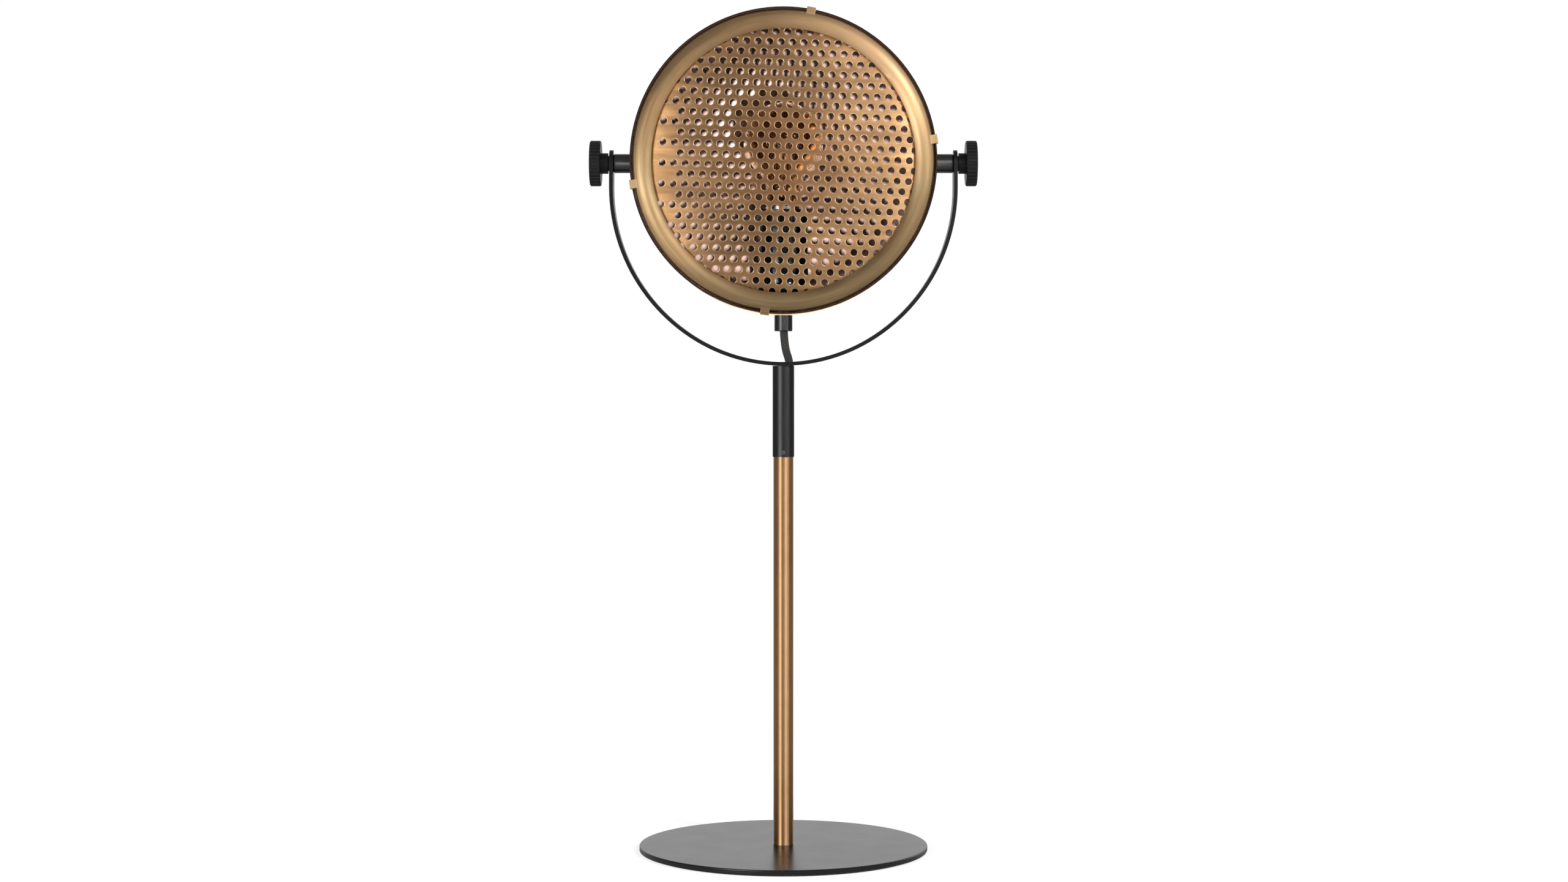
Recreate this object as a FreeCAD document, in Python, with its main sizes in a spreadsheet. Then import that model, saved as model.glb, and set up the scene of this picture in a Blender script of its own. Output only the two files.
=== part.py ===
import FreeCAD, Part
import math
import os
import re

import Sketcher

# Tabletop searchlight lamp, in millimetres. +Z is up, the origin is the centre of the underside
# of the base, and the lamp shines towards -Y. The head is a spun drum with a perforated front. It
# hangs between the legs of a flat strip yoke, on two clamp knobs, over a brass stem on a round base.

# name, size in mm (or degrees or a count, where the note says so), note
SIZES = [
    ("base_diameter", 215, "round steel foot"),
    ("base_thickness", 4, "foot plate"),
    ("base_edge", 0.8, "rounding of the foot's rim"),
    ("pad_thickness", 1, "soft pad under the foot"),
    ("pad_margin", 4, "rim of the foot left free by the pad"),
    ("pad_hole_margin", 3, "pad cut back round the screw head"),
    ("base_screw_diameter", 6, "countersunk screw through the foot"),
    ("base_screw_head", 12, "its head"),
    ("base_screw_length", 17, "over all"),
    ("base_screw_key", 4, "its hexagon socket, across flats"),
    ("base_screw_key_depth", 2, "socket depth"),
    ("stem_diameter", 15, "brass tube"),
    ("stem_wall", 1.2, "tube wall"),
    ("stem_length", 289.5, "foot to sleeve"),
    ("stem_plug_length", 16, "tapped plug brazed in the stem's foot"),
    ("outlet_height", 24, "mains cord outlet above the foot plate"),
    ("outlet_bore", 6.4, "bore of the outlet bush"),
    ("sleeve_diameter", 16.2, "black sleeve on top of the stem"),
    ("sleeve_length", 68, "up to the yoke"),
    ("sleeve_plug_length", 8, "tapped plug in the sleeve's top"),
    ("spigot_reach", 30, "inner joining tube, length inside each tube"),
    ("spigot_wall", 1.45, "joining tube wall"),
    ("grub_diameter", 3, "locking grub screws"),
    ("grub_key", 1.5, "their hexagon socket, across flats"),
    ("stem_grub_inset", 12, "grub screw at the back, below the joint"),
    ("sleeve_grub_inset", 3.4, "grub screw at the front, above the joint"),
    ("slot_height", 45.4, "lead entry above the sleeve's lower end, centre"),
    ("slot_opening", 8.2, "lead entry, clear width"),
    ("slot_straight", 9.8, "lead entry, straight length between its round ends"),
    ("bush_neck", 1, "wall of a grommet's neck"),
    ("bush_lip", 1.15, "lip of a grommet beyond its neck"),
    ("bush_stand", 1.3, "how far a grommet stands off its tube"),
    ("bush_inside", 0.8, "how far a grommet's neck reaches into the tube"),
    ("yoke_thickness", 2.8, "flat strip"),
    ("yoke_width", 20, "strip width"),
    ("yoke_side_room", 13.8, "head to a leg"),
    ("yoke_under_room", 36.6, "head to the middle of the strip at the bottom"),
    ("yoke_leg", 18.3, "straight leg below the tilt axis"),
    ("yoke_bend_angle", 33.4, "degrees, half of the bottom bend"),
    ("yoke_screw_diameter", 5, "countersunk screw through the strip"),
    ("yoke_screw_head", 10, "its head"),
    ("yoke_screw_length", 10.5, "over all"),
    ("yoke_screw_key", 3, "its hexagon socket, across flats"),
    ("yoke_screw_key_depth", 1.5, "socket depth"),
    ("screw_clearance", 0.1, "radial room round a countersunk screw"),
    ("fit", 0.05, "radial running clearance"),
    ("lead_diameter", 6, "round flexible lead"),
    ("lead_tail", 0.3, "lead's end above the shell's floor"),
    ("lead_straight", 10, "lead's straight stretch under the grip"),
    ("lead_swing", 5.9, "how far the lead swings aside behind the strip"),
    ("lead_back", 5.1, "lead behind the sleeve where it turns towards its slot"),
    ("lead_above_slot", 7.6, "height of that turn above the slot's middle"),
    ("lead_below_slot", 8.4, "where the lead turns down again, below the slot's middle"),
    ("lead_wander", 0.8, "the lead's slack from side to side in the stem"),
    ("splice_diameter", 9, "insulated splice at the lead's lower end"),
    ("splice_length", 32, "splice length"),
    ("splice_depth", 20, "lead inside the splice"),
    ("head_front", 35, "tilt axis to the head's front rim"),
    ("shell_radius", 113.2, "spun shell, outside"),
    ("shell_wall", 1.2, "sheet thickness"),
    ("barrel_back", 20, "straight barrel behind the tilt axis"),
    ("shoulder_radius", 55, "shell's shoulder"),
    ("cap_radius", 190, "shallow dome of the shell's back"),
    ("trunnion_radius", 7.1, "spacer between shell and yoke"),
    ("trunnion_chamfer", 0.9, "its outer edge"),
    ("trunnion_thread", 10, "its threaded end through the shell"),
    ("trunnion_washer_radius", 8, "washer inside the shell"),
    ("trunnion_washer_thickness", 1.2, "washer"),
    ("trunnion_nut_across", 15, "nut inside the shell, across flats"),
    ("trunnion_nut_height", 4, "nut"),
    ("trunnion_end", 1, "thread standing out of the nut"),
    ("stud_diameter", 6, "clamp stud of a knob"),
    ("stud_end", 1.5, "stud short of the spacer's inner end"),
    ("knob_radius", 17, "clamp knob"),
    ("knob_thickness", 8.2, "knob rim"),
    ("knob_crown", 0.7, "dome of the knob's face"),
    ("knob_edge", 0.7, "chamfer of the rim"),
    ("knob_hub_radius", 7.75, "hub"),
    ("knob_hub_length", 5.2, "hub"),
    ("knob_boss_radius", 5.75, "boss that bears on the yoke"),
    ("knob_boss_length", 1.2, "boss"),
    ("knob_flutes", 36, "count of grip flutes"),
    ("knob_flute_radius", 1.2, "flute cutter"),
    ("knob_flute_depth", 0.45, "flute depth"),
    ("stud_in_knob", 9.5, "stud moulded into the knob"),
    ("holder_depth", 16, "lampholder's axis behind the tilt axis"),
    ("nipple_diameter", 10, "hollow threaded nipple"),
    ("nipple_bore", 6.8, "its bore"),
    ("nipple_up", 11, "nipple above the shell's floor"),
    ("nipple_down", 9, "nipple below the shell's floor"),
    ("nipple_washer_radius", 9, "washer under the lampholder"),
    ("nipple_washer_thickness", 1.2, "washer"),
    ("grip_radius", 6.8, "cord grip under the head"),
    ("grip_length", 12, "cord grip"),
    ("grip_edge", 0.5, "its chamfer"),
    ("holder_radius", 18.6, "lampholder"),
    ("holder_wall", 2.1, "lampholder skirt"),
    ("holder_cap_height", 25.4, "domed cap of the lampholder"),
    ("holder_cap_foot", 10.5, "radius of the cap's flat foot"),
    ("holder_cap_dome", 22, "radius of the cap's dome"),
    ("holder_cap_step", 1, "ledge in the cap that carries the core"),
    ("holder_cap_wall", 2, "wall of the cap's dome"),
    ("holder_cap_floor", 2.4, "floor of the cap"),
    ("holder_cap_rim", 4, "straight rim of the cap"),
    ("holder_skirt_height", 51, "skirt above the cap"),
    ("holder_mouth", 14.3, "radius of the skirt's mouth"),
    ("holder_mouth_height", 2, "turned-in mouth"),
    ("holder_ring_radius", 20, "threaded ring round the skirt"),
    ("holder_ring_height", 7, "ring"),
    ("holder_ring_top", 5, "ring below the skirt's top"),
    ("core_pocket_radius", 12.9, "pocket in the ceramic core"),
    ("core_pocket_floor", 3.5, "pocket floor below the bulb's tip"),
    ("contact_radius", 5, "centre contact"),
    ("contact_sheet", 0.8, "its sheet"),
    ("terminal_across", 8.5, "terminals from the lampholder's axis"),
    ("terminal_radius", 2.2, "terminal posts"),
    ("terminal_height", 5, "terminal posts"),
    ("wire_diameter", 1.8, "insulated wires from the lead to the terminals"),
    ("wire_spread", 1.3, "wires from the lead's axis where they leave it"),
    ("bulb_tip", 53.5, "bulb's end contact above the shell's floor"),
    ("bulb_length", 106, "bulb over all"),
    ("bulb_radius", 30, "glass"),
    ("bulb_neck", 12.9, "glass neck radius"),
    ("bulb_glass", 0.8, "glass wall"),
    ("bulb_shoulder_angle", 50, "degrees below the bulb's equator where its flare begins"),
    ("thread_start", 6, "E27 thread above the bulb's tip"),
    ("thread_length", 14.5, "E27 thread"),
    ("thread_radius", 12.9, "the bulb's thread, outside"),
    ("thread_sheet", 0.35, "sheet of the bulb cap"),
    ("socket_sheet", 0.4, "sheet of the lampholder's thread shell"),
    ("socket_foot", 3.6, "thread shell below the bulb's thread"),
    ("cap_skirt", 6.4, "plain skirt of the bulb cap over the neck"),
    ("cap_flare", 1, "height over which the bulb cap widens to its skirt"),
    ("tip_radius", 3.6, "bulb's end contact"),
    ("tip_height", 1, "bulb's end contact"),
    ("tip_margin", 0.5, "black glass round the end contact, beyond it"),
    ("insulator_radius", 9, "black glass round the end contact"),
    ("insulator_edge", 1, "its edge inside the bulb cap"),
    ("cap_shoulder", 2.2, "bulb cap below its thread"),
    ("cap_lip", 0.6, "edge of the bulb cap"),
    ("mount_radius", 2, "glass rod that carries the filament"),
    ("mount_flare", 8.5, "glass foot of the rod"),
    ("mount_foot", 1, "height of the foot's edge"),
    ("mount_cone", 2, "height of the foot's cone"),
    ("mount_neck", 11, "height over which the foot narrows to the rod"),
    ("mount_tip", 1.5, "rod above the filament's upper ends"),
    ("filament_low", 47, "filament's lower ends above the bulb's tip"),
    ("filament_high", 77, "filament's upper ends above the bulb's tip"),
    ("filament_low_radius", 9, "ring of lower ends"),
    ("filament_high_radius", 6, "ring of upper ends"),
    ("filament_wire", 0.5, "filament and its supports"),
    ("filament_count", 10, "count of straight filament lengths"),
    ("bezel_room", 2.3, "front ring's flange clear of the shell"),
    ("bezel_band", 12.4, "width of the front ring's face"),
    ("bezel_sheet", 1, "sheet thickness"),
    ("bezel_stand", 0.6, "ring's face in front of the shell's rim"),
    ("bezel_crown", 2.3, "ring's face bulges by"),
    ("bezel_flange", 11, "flange inside the shell"),
    ("bezel_lip", 2.5, "inner lip that bears on the grille"),
    ("ear_width", 6.6, "holding ears of the front ring"),
    ("ear_hook", 6, "ear over the outside of the shell"),
    ("ear_gap", 0.3, "ear clear of the shell"),
    ("ear_bearing_a", 10.5, "degrees, clockwise from the top as seen from the front"),
    ("ear_bearing_b", 82, "degrees"),
    ("ear_bearing_c", 187, "degrees"),
    ("ear_bearing_d", 261, "degrees"),
    ("grille_thickness", 1.2, "perforated sheet"),
    ("grille_hole", 5, "hole diameter"),
    ("grille_pitch", 8.44, "hole to hole along a row"),
    ("grille_row", 7.66, "row to row"),
    ("grille_stagger", 13.04, "every second row starts further in"),
    ("grille_start", 89.2, "first hole of a full row, left of the middle"),
    ("grille_row_below", 4.6, "a full row runs this far below the middle"),
    ("grille_turn", 2.05, "degrees, the rows run down to the right"),
    ("grille_margin", 7.5, "furthest hole centre from the sheet's edge"),
    ("retainer_width", 3, "spring ring behind the grille"),
    ("retainer_thickness", 1.5, "spring ring"),
]

# Places and sizes that follow from the ones above.
DERIVED = {
    "base_radius": "base_diameter / 2",
    "base_top": "pad_thickness + base_thickness",
    "base_screw_radius": "base_screw_diameter / 2",
    "stem_radius": "stem_diameter / 2",
    "bore_radius": "stem_radius - stem_wall",
    "stem_top": "base_top + stem_length",
    "sleeve_radius": "sleeve_diameter / 2",
    "sleeve_top": "stem_top + sleeve_length",
    "axis_height": "sleeve_top + yoke_thickness / 2 + yoke_drop",
    "yoke_half_span": "shell_radius + yoke_side_room + yoke_thickness / 2",
    "yoke_drop": "shell_radius + yoke_under_room",
    "yoke_inner": "yoke_half_span - yoke_thickness / 2",
    "yoke_outer": "yoke_half_span + yoke_thickness / 2",
    "arch_height": "yoke_drop - yoke_leg",
    "side_bend": "(arch_height - yoke_half_span * tan(yoke_bend_angle / 2))"
    " / (cos(yoke_bend_angle) - tan(yoke_bend_angle / 2) * (1 - sin(yoke_bend_angle)))",
    "bottom_bend": "(yoke_half_span - side_bend * (1 - sin(yoke_bend_angle)))"
    " / sin(yoke_bend_angle)",
    "shell_inner": "shell_radius - shell_wall",
    "shell_floor": "axis_height - shell_inner",
    "cap_step": "cap_radius - shoulder_radius",
    "cap_reach": "sqrt(cap_step ^ 2 - (shell_radius - shoulder_radius) ^ 2)",
    "cap_centre": "barrel_back - cap_reach",
    "trunnion_seat": "sqrt(shell_inner ^ 2 - trunnion_washer_radius ^ 2) - fit",
    "trunnion_nut_face": "trunnion_seat - trunnion_washer_thickness",
    "trunnion_inner_end": "trunnion_nut_face - trunnion_nut_height - trunnion_end",
    "stud_radius": "stud_diameter / 2",
    "knob_hub_start": "yoke_outer + knob_boss_length",
    "knob_rim_start": "knob_hub_start + knob_hub_length",
    "knob_face": "knob_rim_start + knob_thickness",
    "nipple_radius": "nipple_diameter / 2",
    "nipple_seat": "shell_inner - sqrt(shell_inner ^ 2 - nipple_washer_radius ^ 2) + fit",
    "holder_base": "nipple_seat + nipple_washer_thickness",
    "skirt_base": "holder_base + holder_cap_height",
    "skirt_top": "skirt_base + holder_skirt_height",
    "core_radius": "holder_radius - holder_wall - fit",
    "thread_base": "bulb_tip + thread_start",
    "socket_base": "thread_base - socket_foot",
    "thread_top": "thread_base + thread_length",
    "glass_base": "thread_top + cap_skirt / 2",
    "glass_centre": "bulb_tip + bulb_length - bulb_radius",
    "flare_radius": "(bulb_radius * cos(bulb_shoulder_angle) - bulb_neck)"
    " / (1 - cos(bulb_shoulder_angle))",
    "flare_low": "glass_centre - (bulb_radius + flare_radius) * sin(bulb_shoulder_angle)",
    "mount_base": "glass_base + 2 * mount_foot",
    "terminal_foot": "shell_floor + skirt_base - terminal_height",
    "grip_mouth": "shell_floor - shell_wall - fit - grip_length",
    "slot_middle": "stem_top + slot_height",
    "bezel_radius": "shell_inner - bezel_room",
    "bezel_opening": "bezel_radius - bezel_band",
    "bezel_face": "head_front + bezel_stand",
    "flange_back": "head_front - bezel_flange",
    "grille_front": "bezel_face - bezel_lip",
    "grille_back": "grille_front - grille_thickness",
    "grille_radius": "bezel_radius - bezel_sheet - 2 * fit",
    "lead_radius": "lead_diameter / 2",
}

# The lead's route: x, y, z. It leaves the head straight down, swings aside behind the yoke strip,
# enters the back of the sleeve and goes down inside the tubes. Chosen by hand.
LEAD_ROUTE = [
    ("0", "holder_depth", "shell_floor + lead_tail"),
    ("0", "holder_depth", "grip_mouth - lead_straight"),
    ("lead_swing", "holder_depth", "sleeve_top"),
    ("lead_swing / 10", "sleeve_radius + lead_back", "slot_middle + lead_above_slot"),
    ("0", "lead_wander / 2", "slot_middle - lead_below_slot"),
    ("0", "0", "stem_top + spigot_reach / 5"),
    ("lead_wander", "-lead_wander * 0.8", "stem_top - stem_length * 0.11"),
    ("-lead_wander", "lead_wander * 0.9", "stem_top - stem_length * 0.33"),
    ("lead_wander", "-lead_wander * 0.6", "stem_top - stem_length * 0.53"),
    ("0", "0", "stem_top - stem_length * 0.7"),
    ("0", "0", "stem_top - stem_length * 0.8"),
]
# One wire from the lead's upper end to the right-hand terminal; the other is its mirror image.
WIRE_ROUTE = [
    ("wire_spread", "holder_depth", "shell_floor + lead_tail"),
    ("wire_spread", "holder_depth", "shell_floor + nipple_up + wire_diameter"),
    ("terminal_across", "holder_depth", "terminal_foot - wire_diameter * 3"),
    ("terminal_across", "holder_depth", "terminal_foot - fit"),
]
BEND_SHARE = 0.45  # of the shorter run beside a bend

doc = FreeCAD.newDocument("searchlight_lamp")
sheet = doc.addObject("Spreadsheet::Sheet", "Sizes")
for row, (name, number, note) in enumerate(SIZES, 1):
    sheet.set(f"A{row}", name)
    sheet.set(f"B{row}", str(number))
    sheet.set(f"C{row}", note)
    sheet.setAlias(f"B{row}", name)
doc.recompute()

ALIASES = {name for name, _, _ in SIZES}
NODES = []


def formula(text):
    """The sheet's own expression for a text in which sizes and derived places stand by name."""

    def swap(found):
        word = found.group(0)
        if word in DERIVED:
            return f"({formula(DERIVED[word])})"
        return f"Sizes.{word}" if word in ALIASES else word

    return re.sub(r"[a-z_]+", swap, text)


def size(text):
    return float(sheet.evalExpression(formula(text)))


# ---------------------------------------------------------------- sketches and features


def new_body(label, depth="0", height="0", turn=0):
    """A named body whose own origin lies at depth and height on the lamp, turned about Z."""
    body = doc.addObject("PartDesign::Body", label)
    body.Label = label
    body.Placement = FreeCAD.Placement(
        FreeCAD.Vector(), FreeCAD.Rotation(FreeCAD.Vector(0, 0, 1), turn)
    )
    body.setExpression("Placement.Base.y", formula(depth))
    body.setExpression("Placement.Base.z", formula(height))
    NODES.append(body)
    return body


def new_sketch(body, plane, offset=None):
    """A sketch on one of the body's origin planes, moved along the plane's normal by offset."""
    sketch = body.newObject("Sketcher::SketchObject", "profile")
    planes = {item.Role: item for item in body.Origin.OriginFeatures}
    sketch.AttachmentSupport = [(planes[plane], "")]
    sketch.MapMode = "FlatFace"
    if offset:
        sketch.setExpression("AttachmentOffset.Base.z", formula(offset))
    return sketch


def round_stretch(start, end, radius, turn):
    """The shorter arc from start to end: anticlockwise where turn is 1, clockwise where it is -1."""
    along = (end - start) * 0.5
    across = FreeCAD.Vector(-along.y, along.x, 0).normalize() * turn
    rise = math.sqrt(max(radius**2 - along.Length**2, 0))
    centre = start + along + across * rise
    angles = [math.atan2(p.y - centre.y, p.x - centre.x) for p in (start, end)]
    circle = Part.Circle(centre, FreeCAD.Vector(0, 0, 1), radius)
    return Part.ArcOfCircle(circle, *angles[::turn])


def outline(sketch, corners):
    """A closed line. A corner is (x, y), or (x, y, radius, turn) where a round stretch leaves it."""
    places = [FreeCAD.Vector(size(corner[0]), size(corner[1]), 0) for corner in corners]
    ends = []
    bound = []
    for index, corner in enumerate(corners):
        start = places[index]
        end = places[(index + 1) % len(corners)]
        if len(corner) == 2:
            piece = sketch.addGeometry(Part.LineSegment(start, end), False)
            ends.append((piece, 1, 2))
        else:
            radius, turn = corner[2:]
            arc = round_stretch(start, end, size(radius), turn)
            piece = sketch.addGeometry(arc, False)
            ends.append((piece, 1, 2) if turn > 0 else (piece, 2, 1))
            bound.append(("Radius", (piece,), radius))
        bound.append(("DistanceX", (-1, 1, *ends[-1][:2]), corner[0]))
        bound.append(("DistanceY", (-1, 1, *ends[-1][:2]), corner[1]))
    for (piece, _, last), (other, first, _) in zip(ends, ends[1:] + ends[:1]):
        sketch.addConstraint(Sketcher.Constraint("Coincident", piece, last, other, first))
    bind(sketch, bound)


def circles(sketch, *rounds):
    """Circles given as (x, y, radius)."""
    bound = []
    for across, up, radius in rounds:
        centre = FreeCAD.Vector(size(across), size(up), 0)
        circle = Part.Circle(centre, FreeCAD.Vector(0, 0, 1), size(radius))
        piece = sketch.addGeometry(circle, False)
        bound.append(("Radius", (piece,), radius))
        bound.append(("DistanceX", (-1, 1, piece, 3), across))
        bound.append(("DistanceY", (-1, 1, piece, 3), up))
    bind(sketch, bound)


def bind(sketch, bound):
    first = sketch.ConstraintCount
    sketch.addConstraint(
        [Sketcher.Constraint(kind, *where, size(text)) for kind, where, text in bound]
    )
    for index, (_, _, text) in enumerate(bound, first):
        sketch.setExpression(f"Constraints[{index}]", formula(text))


def stadium(sketch, half_width, half_straight, up="0"):
    """An upright slot with round ends, about the height up."""
    reach = f"({half_straight}) + ({half_width})"
    outline(
        sketch,
        [
            (f"-({half_width})", f"{up} + {half_straight}"),
            (f"-({half_width})", f"{up} - ({half_straight})", half_width, 1),
            ("0", f"{up} - ({reach})", half_width, 1),
            (half_width, f"{up} - ({half_straight})"),
            (half_width, f"{up} + {half_straight}", half_width, 1),
            ("0", f"{up} + {reach}", half_width, 1),
        ],
    )


def hexagon(sketch, across):
    outline(
        sketch,
        [
            (f"{across} / sqrt(3) * cos({angle})", f"{across} / sqrt(3) * sin({angle})")
            for angle in range(0, 360, 60)
        ],
    )


def revolve(body, sketch, axis="V_Axis"):
    turned = body.newObject("PartDesign::Revolution", "turned")
    turned.Profile = sketch
    turned.ReferenceAxis = (sketch, [axis])
    turned.Angle = 360
    return turned


def groove(body, sketch, axis="V_Axis"):
    cut = body.newObject("PartDesign::Groove", "groove")
    cut.Profile = sketch
    cut.ReferenceAxis = (sketch, [axis])
    cut.Angle = 360
    return cut


def pad(body, sketch, length, backwards=False, both_ways=False):
    block = body.newObject("PartDesign::Pad", "pad")
    block.Profile = sketch
    block.Reversed = backwards
    block.Midplane = both_ways
    block.setExpression("Length", formula(length))
    return block


def pocket(body, sketch, length=None, backwards=False, both_ways=False):
    """A cut along the sketch's normal, right through where no length is given."""
    cut = body.newObject("PartDesign::Pocket", "pocket")
    cut.Profile = sketch
    cut.Reversed = backwards
    cut.Midplane = both_ways
    if length:
        cut.setExpression("Length", formula(length))
    else:
        cut.Type = 1
    return cut


def ring(label, inner, outer, length, depth="0", height="0"):
    """A plain tube, washer or collar that stands on height."""
    body = new_body(label, depth, height)
    sketch = new_sketch(body, "XY_Plane")
    circles(sketch, ("0", "0", outer), ("0", "0", inner))
    pad(body, sketch, length)
    return body


def turned(label, corners, depth="0", height="0"):
    """A piece turned about the vertical; corners are (radius, height)."""
    body = new_body(label, depth, height)
    sketch = new_sketch(body, "XZ_Plane")
    outline(sketch, corners)
    revolve(body, sketch)
    return body


def key_socket(body, across, depth, height="0", upwards=True):
    """The hexagon socket of a screw, cut upwards or downwards from height."""
    sketch = new_sketch(body, "XY_Plane", height)
    hexagon(sketch, across)
    pocket(body, sketch, depth, backwards=upwards)


# ---------------------------------------------------------------- foot and stem


def base_plate():
    hole = "base_screw_radius + screw_clearance"
    turned(
        "base_plate",
        [
            ("base_screw_head / 2 + screw_clearance", "0"),
            ("base_radius - base_edge", "0", "base_edge", 1),
            ("base_radius", "base_edge"),
            ("base_radius", "base_thickness - base_edge", "base_edge", 1),
            ("base_radius - base_edge", "base_thickness"),
            (hole, "base_thickness"),
            (hole, "base_screw_head / 2 - base_screw_radius"),
        ],
        height="pad_thickness",
    )


def base_pad():
    hole = "base_screw_head / 2 + pad_hole_margin"
    ring("base_pad", hole, "base_radius - pad_margin", "pad_thickness")


def base_screw():
    body = turned(
        "base_screw",
        [
            ("0", "0"),
            ("base_screw_head / 2", "0"),
            ("base_screw_radius", "base_screw_head / 2 - base_screw_radius"),
            ("base_screw_radius", "base_screw_length"),
            ("0", "base_screw_length"),
        ],
        height="pad_thickness",
    )
    key_socket(body, "base_screw_key", "base_screw_key_depth")


def stem_plug():
    ring(
        "stem_plug",
        "base_screw_radius + fit",
        "bore_radius - fit",
        "stem_plug_length",
        height="base_top",
    )


def stem():
    body = ring("stem", "bore_radius", "stem_radius", "stem_length", height="base_top")
    sketch = new_sketch(body, "XZ_Plane")
    circles(
        sketch,
        ("0", "outlet_height", "outlet_bore / 2 + bush_neck + fit"),
        ("0", "stem_length - stem_grub_inset", "grub_diameter / 2 + fit"),
    )
    pocket(body, sketch)


def saddle_grommet(label, height, tube_radius, draw):
    """A moulded bush in the back of a tube. draw(sketch, margin) draws its opening plus margin."""
    body = new_body(label, height=height)
    lip = new_sketch(body, "XZ_Plane")
    draw(lip, "bush_neck + bush_lip")
    pad(body, lip, f"{tube_radius} + bush_stand", backwards=True)
    saddle = new_sketch(body, "XY_Plane")
    circles(saddle, ("0", "0", f"{tube_radius} + fit"))
    pocket(body, saddle, both_ways=True)
    neck = new_sketch(body, "XZ_Plane", "-(bore_radius - bush_inside)")
    draw(neck, "bush_neck")
    pad(body, neck, f"{tube_radius} - bore_radius + bush_inside + bush_stand", backwards=True)
    opening = new_sketch(body, "XZ_Plane")
    draw(opening, "0")
    pocket(body, opening)


def outlet_grommet():
    saddle_grommet(
        "outlet_grommet",
        "base_top + outlet_height",
        "stem_radius",
        lambda sketch, margin: circles(sketch, ("0", "0", f"outlet_bore / 2 + {margin}")),
    )


def spigot():
    outer = "bore_radius - fit"
    ring(
        "stem_spigot",
        f"{outer} - spigot_wall",
        outer,
        "2 * spigot_reach",
        height="stem_top - spigot_reach",
    )


def sleeve():
    body = ring("sleeve", "bore_radius", "sleeve_radius", "sleeve_length", height="stem_top")
    slot = new_sketch(body, "XZ_Plane")
    half_width = "slot_opening / 2 + bush_neck + fit"
    stadium(slot, half_width, "slot_straight / 2", "slot_height")
    pocket(body, slot)
    grub = new_sketch(body, "XZ_Plane")
    circles(grub, ("0", "sleeve_grub_inset", "grub_diameter / 2 + fit"))
    pocket(body, grub, backwards=True)


def lead_grommet():
    saddle_grommet(
        "lead_grommet",
        "stem_top + slot_height",
        "sleeve_radius",
        lambda sketch, margin: stadium(
            sketch, f"slot_opening / 2 + {margin}", "slot_straight / 2"
        ),
    )


def grub_screw(label, height, wall, turn):
    """A grub screw in a tube's wall that bears on the spigot, with a hexagon socket."""
    body = new_body(label, height=height, turn=turn)
    shank = new_sketch(body, "XZ_Plane", "bore_radius - fit")
    circles(shank, ("0", "0", "grub_diameter / 2"))
    pad(body, shank, wall)
    key = new_sketch(body, "XZ_Plane", f"bore_radius - fit + {wall}")
    hexagon(key, "grub_key")
    pocket(body, key, f"({wall}) / 2")


def grub_screws():
    """One at the back of the stem, and one at the front of the sleeve."""
    grub_screw("stem_grub_screw", "stem_top - stem_grub_inset", "stem_wall", 180)
    sleeve_wall = "sleeve_radius - bore_radius"
    grub_screw("sleeve_grub_screw", "stem_top + sleeve_grub_inset", sleeve_wall, 0)


def sleeve_plug():
    ring(
        "sleeve_plug",
        "yoke_screw_diameter / 2 + fit",
        "bore_radius - fit",
        "sleeve_plug_length",
        height="sleeve_top - sleeve_plug_length",
    )


# ---------------------------------------------------------------- yoke


def arch_side(offset, way):
    """Corners of one face of the strip from a leg's tip, way 1 on the right or -1 on the left.

    offset moves the face off the middle of the strip. The list runs from tip to bottom bend."""
    side = f"{way} * (yoke_half_span + {offset})"
    joint_across = f"{way} * (bottom_bend + {offset}) * sin(yoke_bend_angle)"
    joint_up = (
        f"bottom_bend - yoke_drop - (bottom_bend + {offset}) * cos(yoke_bend_angle)"
    )
    return [(side, "yoke_width / 2"), (side, "-yoke_leg"), (joint_across, joint_up)]


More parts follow.
